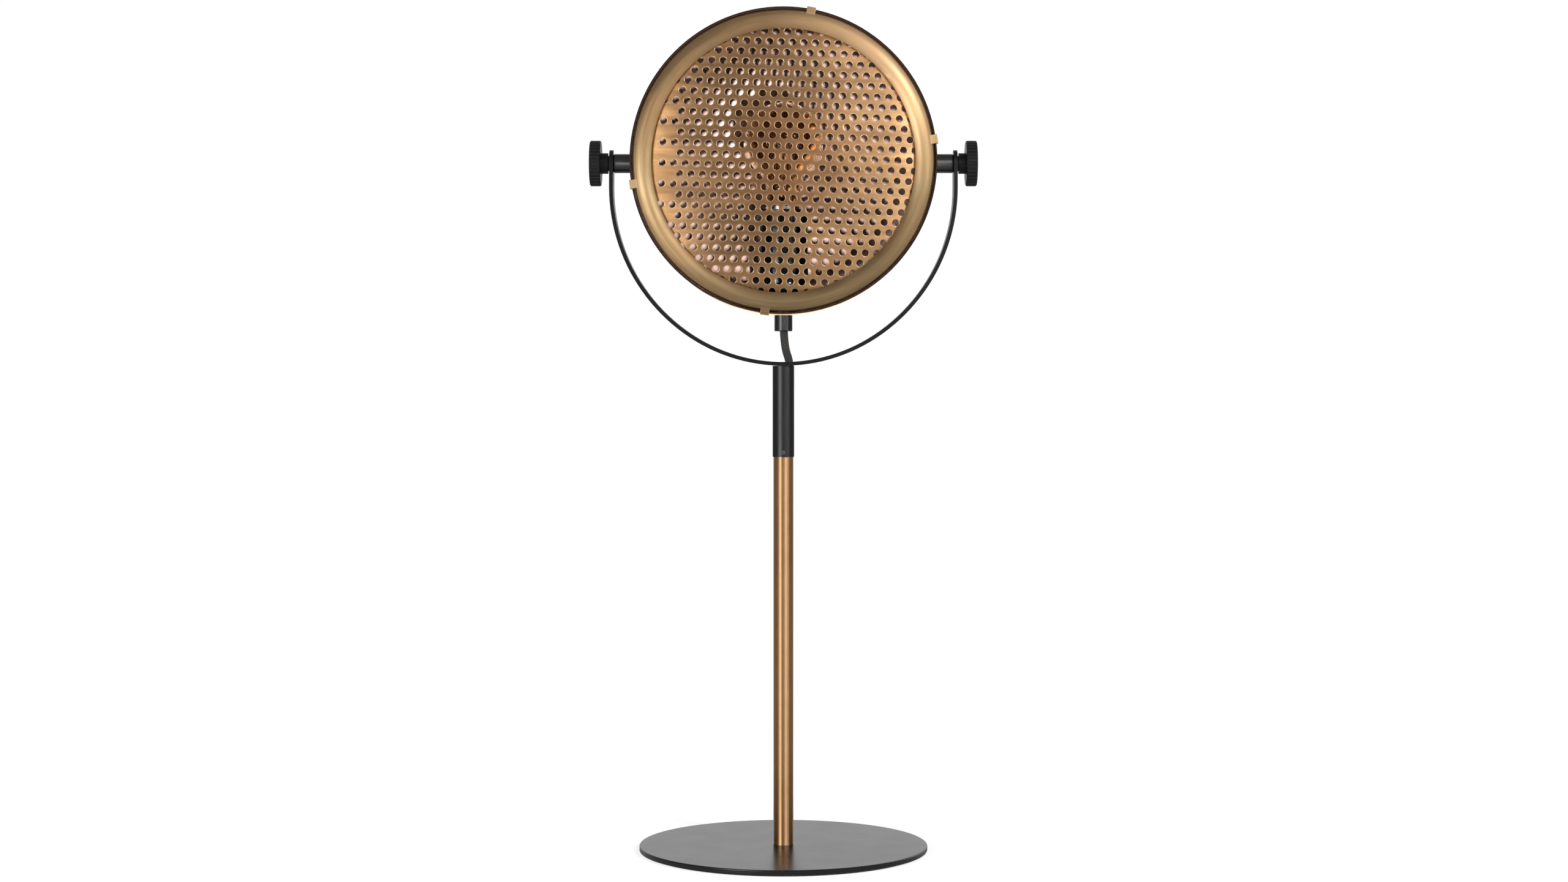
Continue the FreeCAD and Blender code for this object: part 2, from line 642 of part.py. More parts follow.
def yoke():
    """A flat strip bent to a three-centre arch, with round leg ends."""
    body = new_body("yoke", height="axis_height")
    arch = new_sketch(body, "XZ_Plane")
    outside = "yoke_thickness / 2"
    inside = "-yoke_thickness / 2"
    right = arch_side(outside, 1)
    left = arch_side(outside, -1)[::-1]
    back_left = arch_side(inside, -1)
    back_right = arch_side(inside, 1)[::-1]
    side_out = f"side_bend + {outside}"
    bottom_out = f"bottom_bend + {outside}"
    side_in = f"side_bend + {inside}"
    bottom_in = f"bottom_bend + {inside}"
    outline(
        arch,
        [
            right[0],
            (*right[1], side_out, -1),
            (*right[2], bottom_out, -1),
            (*left[0], side_out, -1),
            left[1],
            left[2],
            back_left[0],
            (*back_left[1], side_in, 1),
            (*back_left[2], bottom_in, 1),
            (*back_right[0], side_in, 1),
            back_right[1],
            back_right[2],
        ],
    )
    pad(body, arch, "yoke_width", both_ways=True)
    ends = new_sketch(body, "YZ_Plane")
    half = "yoke_width / 2"
    outline(
        ends,
        [
            (f"-{half} - 1", "0"),
            (f"-{half}", "0", half, -1),
            ("0", half, half, -1),
            (half, "0"),
            (f"{half} + 1", "0"),
            (f"{half} + 1", f"{half} + 1"),
            (f"-{half} - 1", f"{half} + 1"),
        ],
    )
    pocket(body, ends, both_ways=True)
    bores = new_sketch(body, "YZ_Plane")
    circles(bores, ("0", "0", "stud_radius + screw_clearance"))
    pocket(body, bores, both_ways=True)
    countersink = new_sketch(body, "XZ_Plane")
    bore = "yoke_screw_diameter / 2 + screw_clearance"
    top = "yoke_thickness / 2 - yoke_drop"
    outline(
        countersink,
        [
            ("0", "-yoke_drop - yoke_thickness"),
            (bore, "-yoke_drop - yoke_thickness"),
            (bore, f"{top} - (yoke_screw_head - yoke_screw_diameter) / 2"),
            ("yoke_screw_head / 2 + screw_clearance", top),
            ("yoke_screw_head / 2 + screw_clearance", f"{top} + 1"),
            ("0", f"{top} + 1"),
        ],
    )
    groove(body, countersink)


def yoke_screw():
    body = turned(
        "yoke_screw",
        [
            ("0", "0"),
            ("0", "-yoke_screw_length"),
            ("yoke_screw_diameter / 2", "-yoke_screw_length"),
            ("yoke_screw_diameter / 2", "-(yoke_screw_head - yoke_screw_diameter) / 2"),
            ("yoke_screw_head / 2", "0"),
        ],
        height="sleeve_top + yoke_thickness",
    )
    key_socket(body, "yoke_screw_key", "yoke_screw_key_depth", upwards=False)


# ---------------------------------------------------------------- lead and wires


def tube_path(points):
    """Straight runs joined by tangent arcs, with the arcs' radii."""
    edges = []
    radii = []
    start = points[0]
    for before, corner, after in zip(points, points[1:], points[2:]):
        run_in = (corner - before).Length
        run_out = (after - corner).Length
        way_in = (corner - before).normalize()
        way_out = (after - corner).normalize()
        cut = BEND_SHARE * min(run_in, run_out)
        half_turn = way_in.getAngle(way_out) / 2
        radii.append(cut / math.tan(half_turn))
        enter = corner - way_in * cut
        leave = corner + way_out * cut
        toward = (leave + enter) * 0.5 - corner
        inset = radii[-1] * (1 / math.cos(half_turn) - 1)
        middle = corner + toward.normalize() * inset
        edges.append(Part.LineSegment(start, enter).toShape())
        edges.append(Part.Arc(enter, middle, leave).toShape())
        start = leave
    edges.append(Part.LineSegment(start, points[-1]).toShape())
    return Part.Wire(edges), radii


def round_tube(route, radius):
    """A solid round tube along the route; its volume must be its section times its length."""
    points = [FreeCAD.Vector(*map(size, point)) for point in route]
    path, radii = tube_path(points)
    circle = Part.Circle(points[0], points[1] - points[0], radius)
    section = Part.Wire(circle.toShape())
    tube = path.makePipeShell([section], True, False)
    share = tube.Volume / (math.pi * radius**2 * path.Length)
    if abs(share - 1) > 0.002:
        raise RuntimeError(f"a tube has {share:.4f} of its volume")
    return tube, path.Length, radii


def plain_feature(label, shape):
    piece = doc.addObject("Part::Feature", label)
    piece.Label = label
    piece.Shape = shape
    piece.Placement = FreeCAD.Placement()
    NODES.append(piece)
    return piece


def head_lead():
    tube, length, radii = round_tube(LEAD_ROUTE, size("lead_radius"))
    print(f"lead: {length:.1f} mm long, bend radii", [round(radius, 1) for radius in radii])
    plain_feature("head_lead", tube)


def lead_splice():
    """The insulated splice that joins the lead to the mains cord inside the stem."""
    lead_end = size(LEAD_ROUTE[-1][2])
    foot = FreeCAD.Vector(0, 0, lead_end + size("splice_depth - splice_length"))
    outer = Part.makeCylinder(size("splice_diameter / 2"), size("splice_length"), foot)
    bore = Part.makeCylinder(
        size("lead_radius + fit"),
        size("splice_depth + fit"),
        FreeCAD.Vector(0, 0, lead_end - size("fit")),
    )
    plain_feature("lead_splice", outer.cut(bore))


def lead_wires():
    right, _, _ = round_tube(WIRE_ROUTE, size("wire_diameter / 2"))
    left = right.mirror(FreeCAD.Vector(), FreeCAD.Vector(1, 0, 0))
    plain_feature("lead_wires", Part.makeCompound([left, right]))


# ---------------------------------------------------------------- head


def head_shell():
    """Spun sheet: a straight barrel, a round shoulder and a shallow domed back."""
    body = new_body("head_shell", height="axis_height")
    section = new_sketch(body, "YZ_Plane")

    def dome(radius):
        share = f"({radius}) / cap_step"
        return (
            f"cap_centre + cap_reach * {share}",
            f"(shell_radius - shoulder_radius) * {share}",
        )

    outside = "cap_radius"
    inside = "cap_radius - shell_wall"
    outline(
        section,
        [
            ("-head_front", "shell_inner"),
            ("-head_front", "shell_radius"),
            ("barrel_back", "shell_radius", "shoulder_radius", -1),
            (*dome(outside), outside, -1),
            (f"cap_centre + {outside}", "0"),
            (f"cap_centre + {inside}", "0", inside, 1),
            (*dome(inside), "shoulder_radius - shell_wall", 1),
            ("barrel_back", "shell_inner"),
        ],
    )
    revolve(body, section, "H_Axis")
    trunnions = new_sketch(body, "YZ_Plane")
    circles(trunnions, ("0", "0", "trunnion_thread / 2 + fit"))
    pocket(body, trunnions, both_ways=True)
    entry = new_sketch(body, "XY_Plane")
    circles(entry, ("0", "holder_depth", "nipple_radius + fit"))
    pocket(body, entry)


def side_piece(label, turn, corners):
    """A piece turned about the tilt axis; corners are (distance out, radius) on one side."""
    body = new_body(label, height="axis_height", turn=turn)
    section = new_sketch(body, "XZ_Plane")
    outline(section, corners)
    revolve(body, section, "H_Axis")
    return body


def trunnion(side, turn):
    """The threaded spacer on which the head hangs, with its washer and nut inside the shell."""
    bore = "stud_radius + fit"
    side_piece(
        f"trunnion_{side}",
        turn,
        [
            ("trunnion_inner_end", bore),
            ("yoke_inner", bore),
            ("yoke_inner", "trunnion_radius - trunnion_chamfer"),
            ("yoke_inner - trunnion_chamfer", "trunnion_radius"),
            ("shell_radius + fit", "trunnion_radius"),
            ("shell_radius + fit", "trunnion_thread / 2"),
            ("trunnion_inner_end", "trunnion_thread / 2"),
        ],
    )
    hole = "trunnion_thread / 2 + fit"
    side_piece(
        f"trunnion_washer_{side}",
        turn,
        [
            ("trunnion_nut_face", hole),
            ("trunnion_seat", hole),
            ("trunnion_seat", "trunnion_washer_radius"),
            ("trunnion_nut_face", "trunnion_washer_radius"),
        ],
    )
    nut = new_body(f"trunnion_nut_{side}", height="axis_height", turn=turn)
    sketch = new_sketch(nut, "YZ_Plane", "trunnion_nut_face - trunnion_nut_height")
    hexagon(sketch, "trunnion_nut_across")
    circles(sketch, ("0", "0", hole))
    pad(nut, sketch, "trunnion_nut_height")


def knob(side, turn):
    """A fluted clamp knob with its threaded stud."""
    hole = "stud_radius + fit"
    rim = "knob_radius - knob_edge"
    body = side_piece(
        f"knob_{side}",
        turn,
        [
            ("yoke_outer", hole),
            ("yoke_outer + stud_in_knob", hole),
            ("yoke_outer + stud_in_knob", "0"),
            ("knob_face + knob_crown", "0", f"(({rim}) ^ 2 / knob_crown + knob_crown) / 2", 1),
            ("knob_face", rim),
            ("knob_face - knob_edge", "knob_radius"),
            ("knob_rim_start + knob_edge", "knob_radius"),
            ("knob_rim_start", rim),
            ("knob_rim_start", "knob_hub_radius"),
            ("knob_hub_start", "knob_hub_radius"),
            ("knob_hub_start", "knob_boss_radius"),
            ("yoke_outer", "knob_boss_radius"),
        ],
    )
    flute = new_sketch(body, "YZ_Plane")
    circles(flute, ("0", "knob_radius + knob_flute_radius - knob_flute_depth", "knob_flute_radius"))
    cut = pocket(body, flute, both_ways=True)
    flutes = body.newObject("PartDesign::PolarPattern", "flutes")
    flutes.Originals = [cut]
    flutes.Axis = (flute, ["N_Axis"])
    flutes.Angle = 360
    flutes.setExpression("Occurrences", formula("knob_flutes"))
    body.Tip = flutes
    side_piece(
        f"stud_{side}",
        turn,
        [
            ("trunnion_inner_end + stud_end", "0"),
            ("yoke_outer + stud_in_knob - fit", "0"),
            ("yoke_outer + stud_in_knob - fit", "stud_radius"),
            ("trunnion_inner_end + stud_end", "stud_radius"),
        ],
    )


def cord_grip():
    """The black grip that the lead leaves, screwed on the nipple under the shell."""
    top = "-shell_wall - fit"
    bottom = f"{top} - grip_length"
    turned(
        "cord_grip",
        [
            ("lead_radius + 2 * fit", bottom),
            ("grip_radius - grip_edge", bottom),
            ("grip_radius", f"{bottom} + grip_edge"),
            ("grip_radius", top),
            ("nipple_radius + fit", top),
            ("nipple_radius + fit", "-nipple_down - fit"),
            ("lead_radius + 2 * fit", "-nipple_down - fit"),
        ],
        depth="holder_depth",
        height="shell_floor",
    )


def nipple():
    ring(
        "holder_nipple",
        "nipple_bore / 2",
        "nipple_radius",
        "nipple_up + nipple_down",
        depth="holder_depth",
        height="shell_floor - nipple_down",
    )
    ring(
        "nipple_washer",
        "nipple_radius + fit",
        "nipple_washer_radius",
        "nipple_washer_thickness",
        depth="holder_depth",
        height="shell_floor + nipple_seat",
    )


def on_floor(label, corners):
    """A piece of the lampholder or the bulb; heights are above the shell's floor."""
    return turned(label, corners, depth="holder_depth", height="shell_floor")


def lampholder():
    ledge = "core_radius - holder_cap_step"
    shoulder = "skirt_base - holder_cap_rim"
    floor_top = "holder_base + holder_cap_floor"
    on_floor(
        "holder_cap",
        [
            ("nipple_radius + fit", "holder_base"),
            ("holder_cap_foot", "holder_base", "holder_cap_dome", 1),
            ("holder_radius", shoulder),
            ("holder_radius", "skirt_base"),
            (ledge, "skirt_base"),
            (ledge, shoulder, "holder_cap_dome - holder_cap_wall", -1),
            ("holder_cap_foot - holder_cap_wall", floor_top),
            ("nipple_radius + fit", floor_top),
        ],
    )
    inside = "holder_radius - holder_wall"
    on_floor(
        "holder_skirt",
        [
            (inside, "skirt_base"),
            ("holder_radius", "skirt_base"),
            ("holder_radius", "skirt_top"),
            ("holder_mouth", "skirt_top"),
            ("holder_mouth", "skirt_top - holder_mouth_height"),
            (inside, "skirt_top - holder_mouth_height"),
        ],
    )
    ring_top = "skirt_top - holder_ring_top"
    ring(
        "holder_ring",
        "holder_radius + fit",
        "holder_ring_radius",
        "holder_ring_height",
        depth="holder_depth",
        height=f"shell_floor + {ring_top} - holder_ring_height",
    )
    floor = "bulb_tip - core_pocket_floor"
    on_floor(
        "holder_core",
        [
            ("0", "skirt_base + fit"),
            ("core_radius", "skirt_base + fit"),
            ("core_radius", "socket_base - fit"),
            ("core_pocket_radius", "socket_base - fit"),
            ("core_pocket_radius", floor),
            ("0", floor),
        ],
    )
    on_floor(
        "holder_contact",
        [
            ("0", f"{floor} + fit"),
            ("contact_radius", f"{floor} + fit"),
            ("contact_radius", f"{floor} + contact_sheet"),
            ("contact_radius / 2", f"{floor} + contact_sheet"),
            ("contact_radius / 2 - contact_sheet", "bulb_tip - fit"),
            ("0", "bulb_tip - fit"),
        ],
    )
    ring(
        "holder_thread",
        "thread_radius + fit",
        "thread_radius + fit + socket_sheet",
        "thread_top - socket_base",
        depth="holder_depth",
        height="shell_floor + socket_base",
    )


def holder_terminals():
    """Two brass terminal posts under the ceramic core."""
    posts = []
    for way in (-1, 1):
        post = doc.addObject("Part::Cylinder", "terminal")
        post.setExpression("Radius", formula("terminal_radius"))
        post.setExpression("Height", formula("terminal_height"))
        post.setExpression("Placement.Base.x", formula(f"{way} * terminal_across"))
        post.setExpression("Placement.Base.y", formula("holder_depth"))
        post.setExpression("Placement.Base.z", formula("terminal_foot"))
        posts.append(post)
    group = doc.addObject("Part::MultiFuse", "holder_terminals")
    group.Shapes = posts
    group.Label = "holder_terminals"
    NODES.append(group)


def bulb_cap():
    inside = "thread_radius - thread_sheet"
    neck = "bulb_neck + fit"
    skirt = "thread_top + cap_skirt"
    flare = "thread_top + cap_flare"
    lip = "thread_base - cap_shoulder"
    on_floor(
        "bulb_cap",
        [
            ("insulator_radius", lip),
            ("thread_radius", "thread_base"),
            ("thread_radius", "thread_top"),
            (f"{neck} + thread_sheet", flare),
            (f"{neck} + thread_sheet", skirt),
            (neck, skirt),
            (neck, flare),
            (inside, "thread_top"),
            (inside, "thread_base"),
            ("insulator_radius", f"{lip} + cap_lip"),
        ],
    )


def bulb():
    bulb_cap()
    tip_top = "bulb_tip + tip_height"
    on_floor(
        "bulb_tip",
        [
            ("0", "bulb_tip"),
            ("tip_radius / 2", "bulb_tip"),
            ("tip_radius", tip_top),
            ("0", tip_top),
        ],
    )
    edge = "insulator_radius - fit"
    on_floor(
        "bulb_insulator",
        [
            ("0", f"{tip_top} + fit"),
            ("tip_radius + tip_margin", f"{tip_top} + fit"),
            (edge, "thread_base - cap_shoulder"),
            (edge, "thread_base - cap_shoulder + insulator_edge"),
            ("0", "thread_base - cap_shoulder + insulator_edge"),
        ],
    )

    def flare_start(radius):
        """Where the round of the bulb goes over into the flare of its neck."""
        return (
            f"({radius}) * cos(bulb_shoulder_angle)",
            f"glass_centre - ({radius}) * sin(bulb_shoulder_angle)",
        )

    inner_ball = "bulb_radius - bulb_glass"
    inner_neck = "bulb_neck - bulb_glass"
    on_floor(
        "bulb_glass",
        [
            (inner_neck, "glass_base"),
            ("bulb_neck", "glass_base"),
            ("bulb_neck", "flare_low", "flare_radius", -1),
            (*flare_start("bulb_radius"), "bulb_radius", 1),
            ("0", "glass_centre + bulb_radius"),
            ("0", f"glass_centre + {inner_ball}", inner_ball, -1),
            (*flare_start(inner_ball), "flare_radius + bulb_glass", 1),
            (inner_neck, "flare_low"),
        ],
    )
    foot = "mount_base + mount_foot"
    cone = f"{foot} + mount_cone"
    rod_top = "bulb_tip + filament_high + mount_tip"
    on_floor(
        "bulb_mount",
        [
            ("0", "mount_base"),
            ("bulb_neck - bulb_glass - fit", "mount_base"),
            ("bulb_neck - bulb_glass - fit", foot),
            ("mount_flare", cone, "mount_flare * 1.6", -1),
            ("mount_radius", f"{cone} + mount_neck"),
            ("mount_radius", rod_top),
            ("0", rod_top),
        ],
    )


def filament():
    """Straight filament lengths in a zigzag cage, and the wires that hold their ends."""
    count = int(size("filament_count"))
    radius = size("filament_wire / 2")
    floor = size("shell_floor + bulb_tip")
    axis = FreeCAD.Vector(0, size("holder_depth"), floor)
    rings = (
        (size("filament_low_radius"), size("filament_low")),
        (size("filament_high_radius"), size("filament_high")),
    )
    ends = []
    for index in range(count + 1):
        reach, height = rings[index % 2]
        angle = 2 * math.pi * index / (count + 1)
        away = FreeCAD.Vector(math.cos(angle), math.sin(angle), 0)
        ends.append((axis + FreeCAD.Vector(0, 0, height), away, reach))
    wires = []
    lengths = []
    spoke_start = size("mount_radius + fit")
    for middle, away, reach in ends:
        wires.append(
            Part.makeCylinder(radius, reach - spoke_start, middle + away * spoke_start, away)
        )
    for (low, way_a, reach_a), (high, way_b, reach_b) in zip(ends, ends[1:]):
        start = low + way_a * reach_a
        line = high + way_b * reach_b - start
        run = line.Length
        line.normalize()
        gap = 2 * radius
        lengths.append(
            Part.makeCylinder(radius, run - 2 * gap, start + line * gap, line)
        )
    plain_feature("bulb_supports", Part.makeCompound(wires))
    plain_feature("bulb_filament", Part.makeCompound(lengths))


# ---------------------------------------------------------------- front ring and grille


def front_ring():
    """Rolled front ring with a flange, a crowned face, an inner lip and four holding ears."""
    body = new_body("front_ring", height="axis_height")
    section = new_sketch(body, "YZ_Plane")
    face = "-bezel_face"
    band = "(bezel_radius - bezel_opening)"
    inner_band = f"({band} - 2 * bezel_sheet)"
    inner_crown = "(bezel_crown - bezel_sheet * 0.6)"
    inner_face = f"{face} + bezel_sheet * 0.4"
    outline(
        section,
        [
            ("-flange_back", "bezel_radius"),
            (face, "bezel_radius", f"{band} ^ 2 / (8 * bezel_crown) + bezel_crown / 2", 1),
            (face, "bezel_opening"),
            ("-grille_front", "bezel_opening"),
            ("-grille_front", "bezel_opening + bezel_sheet"),
            (
                inner_face,
                "bezel_opening + bezel_sheet",
                f"{inner_band} ^ 2 / (8 * {inner_crown}) + {inner_crown} / 2",
                -1,
            ),
            (inner_face, "bezel_radius - bezel_sheet"),
            ("-flange_back", "bezel_radius - bezel_sheet"),
        ],
    )
    revolve(body, section, "H_Axis")
    under = "shell_radius + ear_gap"
    over = f"{under} + bezel_sheet"
    root = "bezel_radius - bezel_sheet * 0.8"
    front = "-head_front - bezel_sheet"
    for bearing in ("ear_bearing_a", "ear_bearing_b", "ear_bearing_c", "ear_bearing_d"):
        ear = new_sketch(body, "YZ_Plane")
        ear.AttachmentOffset = FreeCAD.Placement(
            FreeCAD.Vector(), FreeCAD.Rotation(FreeCAD.Vector(1, 0, 0), 1)
        )
        ear.setExpression("AttachmentOffset.Rotation.Angle", formula(bearing))
        outline(
            ear,
            [
                (front, root),
                ("-head_front", root),
                ("-head_front", under),
                ("ear_hook - head_front", under),
                ("ear_hook - head_front", over),
                (front, over),
            ],
        )
        pad(body, ear, "ear_width", both_ways=True)


def grille_holes():
    """Hole centres (across, up) on the grille's face, row by row."""
    turn = math.radians(size("grille_turn"))
    pitch = size("grille_pitch")
    row_step = size("grille_row")
    limit = size("grille_radius - grille_margin")
    rows = int(limit / row_step) + 1
    centres = []
    for row_number in range(-rows, rows + 1):
        up = row_number * row_step - size("grille_row_below")
        across = -size("grille_start")
        if row_number % 2:
            across += size("grille_stagger")
        while across < limit:
            if math.hypot(across, up) <= limit:
                centres.append(
                    (
                        across * math.cos(turn) + up * math.sin(turn),
                        up * math.cos(turn) - across * math.sin(turn),
                    )
                )
            across += pitch
    return centres


def grille():
    """The perforated front: one punched disc with staggered rows of round holes."""
    front = FreeCAD.Vector(0, -size("grille_front"), size("axis_height"))
    backwards = FreeCAD.Vector(0, 1, 0)
    edge = Part.Circle(front, backwards, size("grille_radius"))
    wires = [Part.Wire(edge.toShape())]
    centres = grille_holes()
    for across, up in centres:
        middle = front + FreeCAD.Vector(across, 0, up)
        hole = Part.Circle(middle, backwards, size("grille_hole / 2"))
        wires.append(Part.Wire(hole.toShape()))
    sheet_face = Part.makeFace(wires, "Part::FaceMakerBullseye")
    print(f"grille: {len(centres)} holes")
    plain_feature("grille", sheet_face.extrude(backwards * size("grille_thickness")))


def grille_retainer():
    body = new_body("grille_retainer", height="axis_height")
    sketch = new_sketch(body, "XZ_Plane", "grille_back - retainer_thickness")
    circles(sketch, ("0", "0", "grille_radius"), ("0", "0", "grille_radius - retainer_width"))
    pad(body, sketch, "retainer_thickness")


# ---------------------------------------------------------------- build, check and write


def build():
    base_plate()
    base_pad()
    base_screw()
    stem_plug()
    stem()
    outlet_grommet()
    spigot()
    sleeve()
    lead_grommet()
    grub_screws()
    sleeve_plug()
    yoke()
    yoke_screw()
    head_lead()
    lead_splice()
    lead_wires()
    head_shell()
    for side, turn in (("right", 0), ("left", 180)):
        trunnion(side, turn)
        knob(side, turn)
    cord_grip()
    nipple()
    lampholder()
    holder_terminals()
    bulb()
    filament()
    front_ring()
    grille()
    grille_retainer()
    doc.recompute()


def check():
    """Stop before anything is written if an object failed or a cut took nothing away."""
    for item in doc.Objects:
        if {"Invalid", "Error"} & set(item.State):
            raise RuntimeError(f"{item.Label} failed: {item.State}")
    for item in doc.Objects:
        if item.TypeId in ("PartDesign::Pocket", "PartDesign::Groove"):
            before = item.BaseFeature.Shape.Volume
            if item.Shape.Volume > before - 1e-6:
                raise RuntimeError(f"{item.Label} cuts nothing")
    for node in NODES:
        if node.Shape.isNull() or not node.Shape.isValid():
            raise RuntimeError(f"{node.Label} has no valid shape")


def write():
    os.makedirs("parts", exist_ok=True)
    for node in NODES:
        node.Shape.exportStep(f"parts/{node.Label}.step")
    print(f"{len(NODES)} sub-parts")


build()
check()
write()
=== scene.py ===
"""Tabletop searchlight lamp: a brass head behind a perforated front, tilting in a strip yoke.

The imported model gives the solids. This script gives them their finishes, replaces the short
textile lead by a braided one, adds the roll round the front ring, and sets the floor, the
lamps and the camera.
"""
import math

import bpy
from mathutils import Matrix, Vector

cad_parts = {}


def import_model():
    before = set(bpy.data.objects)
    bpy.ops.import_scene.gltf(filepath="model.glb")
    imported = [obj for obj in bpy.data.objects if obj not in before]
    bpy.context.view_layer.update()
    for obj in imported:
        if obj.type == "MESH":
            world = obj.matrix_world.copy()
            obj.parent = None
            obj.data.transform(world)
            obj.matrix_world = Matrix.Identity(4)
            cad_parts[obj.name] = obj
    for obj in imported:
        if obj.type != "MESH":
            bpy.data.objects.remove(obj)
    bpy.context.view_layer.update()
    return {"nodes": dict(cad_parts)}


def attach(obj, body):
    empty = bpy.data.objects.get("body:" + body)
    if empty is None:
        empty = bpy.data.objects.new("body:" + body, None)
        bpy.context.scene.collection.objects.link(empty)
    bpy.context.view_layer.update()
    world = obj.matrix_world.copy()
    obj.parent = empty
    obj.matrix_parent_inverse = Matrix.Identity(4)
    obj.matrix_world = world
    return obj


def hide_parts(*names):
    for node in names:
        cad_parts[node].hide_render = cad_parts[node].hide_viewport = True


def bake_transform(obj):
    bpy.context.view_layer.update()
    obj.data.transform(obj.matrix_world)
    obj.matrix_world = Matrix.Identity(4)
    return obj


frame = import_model()
nodes = frame["nodes"]

# ---------------------------------------------------------------- places on the object, metres

HEAD_AXIS = (0.0, 0.0, 0.5137)     # the tilting axis, which is also the head's middle
SHELL_LIP = -0.0235                # from here forwards the shell's inside is its lip, left unlined and painted dark as shade
SHELL_CUT = -0.0342                # and from here all of the shell is its cut edge, painted dark as shade
RING_FACE = -0.0356                # where the front ring's face meets its flange
RING_RADIUS = 0.1097               # the outside of that flange
RING_SLOPE = math.radians(40.7)    # how far the face leans back where the roll starts
ROLL_RADIUS = 0.0046               # the roll that carries the ring's face on outwards
ROLL_START = 0.0004                # how far behind the face's edge the roll starts
ROLL_BACK = 0.0012                 # how far its back is behind its middle
ROLL_TUCK = 0.0005                 # how far it reaches into the flange
ROLL_SIDES = 160
LEAD_DIAMETER = 0.006
LEAD_SIDES = 24
LEAD_ROUTE = [
    (0.0, 0.016, 0.402),
    (0.0, 0.016, 0.37845),
    (0.0059, 0.016, 0.3625),
    (0.00059, 0.0132, 0.3475),
    (0.0, 0.0004, 0.3315),
    (0.0, 0.0, 0.3005),
    (0.0008, -0.00064, 0.26266),
    (-0.0008, 0.00072, 0.19897),
    (0.0008, -0.00048, 0.14107),
    (0.0, 0.0, 0.09185),
    (0.0, 0.0, 0.0629),
]


# ---------------------------------------------------------------- node trees

class Shader:
    """One material's or the world's node tree, and short ways to add to it.

    Where a method takes a value, it is a number, a colour or another node's output.
    """

    def __init__(self, owner, output="ShaderNodeOutputMaterial"):
        owner.use_nodes = True
        self.owner = owner
        self.tree = owner.node_tree
        self.tree.nodes.clear()
        self.output = self.tree.nodes.new(output)

    def feed(self, socket, value):
        if isinstance(value, bpy.types.NodeSocket):
            self.tree.links.new(value, socket)
        elif value is not None:
            socket.default_value = value

    def node(self, kind, sockets=None, **settings):
        made = self.tree.nodes.new("ShaderNode" + kind)
        for key, value in settings.items():
            setattr(made, key, value)
        for key, value in (sockets or {}).items():
            self.feed(made.inputs[key], value)
        return made

    def math(self, operation, *values, clamp=False):
        made = self.node("Math", operation=operation, use_clamp=clamp)
        for place, value in enumerate(values):
            self.feed(made.inputs[place], value)
        return made.outputs[0]

    def vector(self, operation, *values):
        made = self.node("VectorMath", operation=operation)
        for place, value in enumerate(values):
            self.feed(made.inputs[place], value)
        return made.outputs["Value" if operation in ("LENGTH", "DOT_PRODUCT") else "Vector"]

    def join(self, x, y, z):
        return self.node("CombineXYZ", {"X": x, "Y": y, "Z": z}).outputs[0]

    def split(self, vector):
        made = self.node("SeparateXYZ", {"Vector": vector})
        return made.outputs[0], made.outputs[1], made.outputs[2]

    def noise(self, vector, scale, detail=2.0, roughness=0.5):
        made = self.node("TexNoise", {"Vector": vector, "Scale": scale, "Detail": detail,
                                      "Roughness": roughness})
        return made.outputs["Fac"]

    def grain(self, vector, scales, detail=2.0, roughness=0.5):
        """Noise with a scale of its own along each axis."""
        return self.noise(self.vector("MULTIPLY", vector, scales), 1.0, detail, roughness)

    def span(self, value, low, high, to_low=0.0, to_high=1.0, smooth=False):
        """The value's place between low and high, given as a place between the other two."""
        made = self.node("MapRange", {"Value": value, "From Min": low, "From Max": high,
                                      "To Min": to_low, "To Max": to_high},
                         interpolation_type="SMOOTHSTEP" if smooth else "LINEAR")
        return made.outputs["Result"]

    def mix(self, factor, first, second, blend="MIX"):
        made = self.node("Mix", data_type="RGBA", blend_type=blend)
        self.feed(made.inputs[0], factor)
        self.feed(made.inputs[6], colour(first))
        self.feed(made.inputs[7], colour(second))
        return made.outputs[2]

    def rounded(self, radius):
        """The surface's normal, with its edges shaded as if they were rounded."""
        return self.node("Bevel", {"Radius": radius}, samples=6).outputs[0]

    def bump(self, height, distance, strength=1.0, under=None):
        made = self.node("Bump", {"Height": height, "Distance": distance, "Strength": strength,
                                  "Normal": under})
        return made.outputs[0]

    def place(self):
        return self.node("TexCoord").outputs["Object"]

    def edges(self, radius):
        """0 on the flat, rising to 1 within the radius of an edge."""
        worn = self.node("Bevel", {"Radius": radius}, samples=4).outputs[0]
        plain = self.node("NewGeometry").outputs["Normal"]
        return self.span(self.vector("DOT_PRODUCT", worn, plain), 0.99, 0.85)

    def surface(self, **sockets):
        named = {key.replace("_", " "): value for key, value in sockets.items()}
        shader = self.node("BsdfPrincipled", named)
        self.feed(self.output.inputs["Surface"], shader.outputs[0])
        return shader


def colour(value):
    """A colour given as three numbers gets its fourth."""
    return (*value, 1.0) if isinstance(value, tuple) and len(value) == 3 else value


def scaled(base, factor, lift=0.0):
    """A colour made brighter or darker, and then lighter by the lift."""
    return tuple(min(1.0, share * factor + lift) for share in base)


def new_shader(name):
    return Shader(bpy.data.materials.new(name))


# ---------------------------------------------------------------- finishes

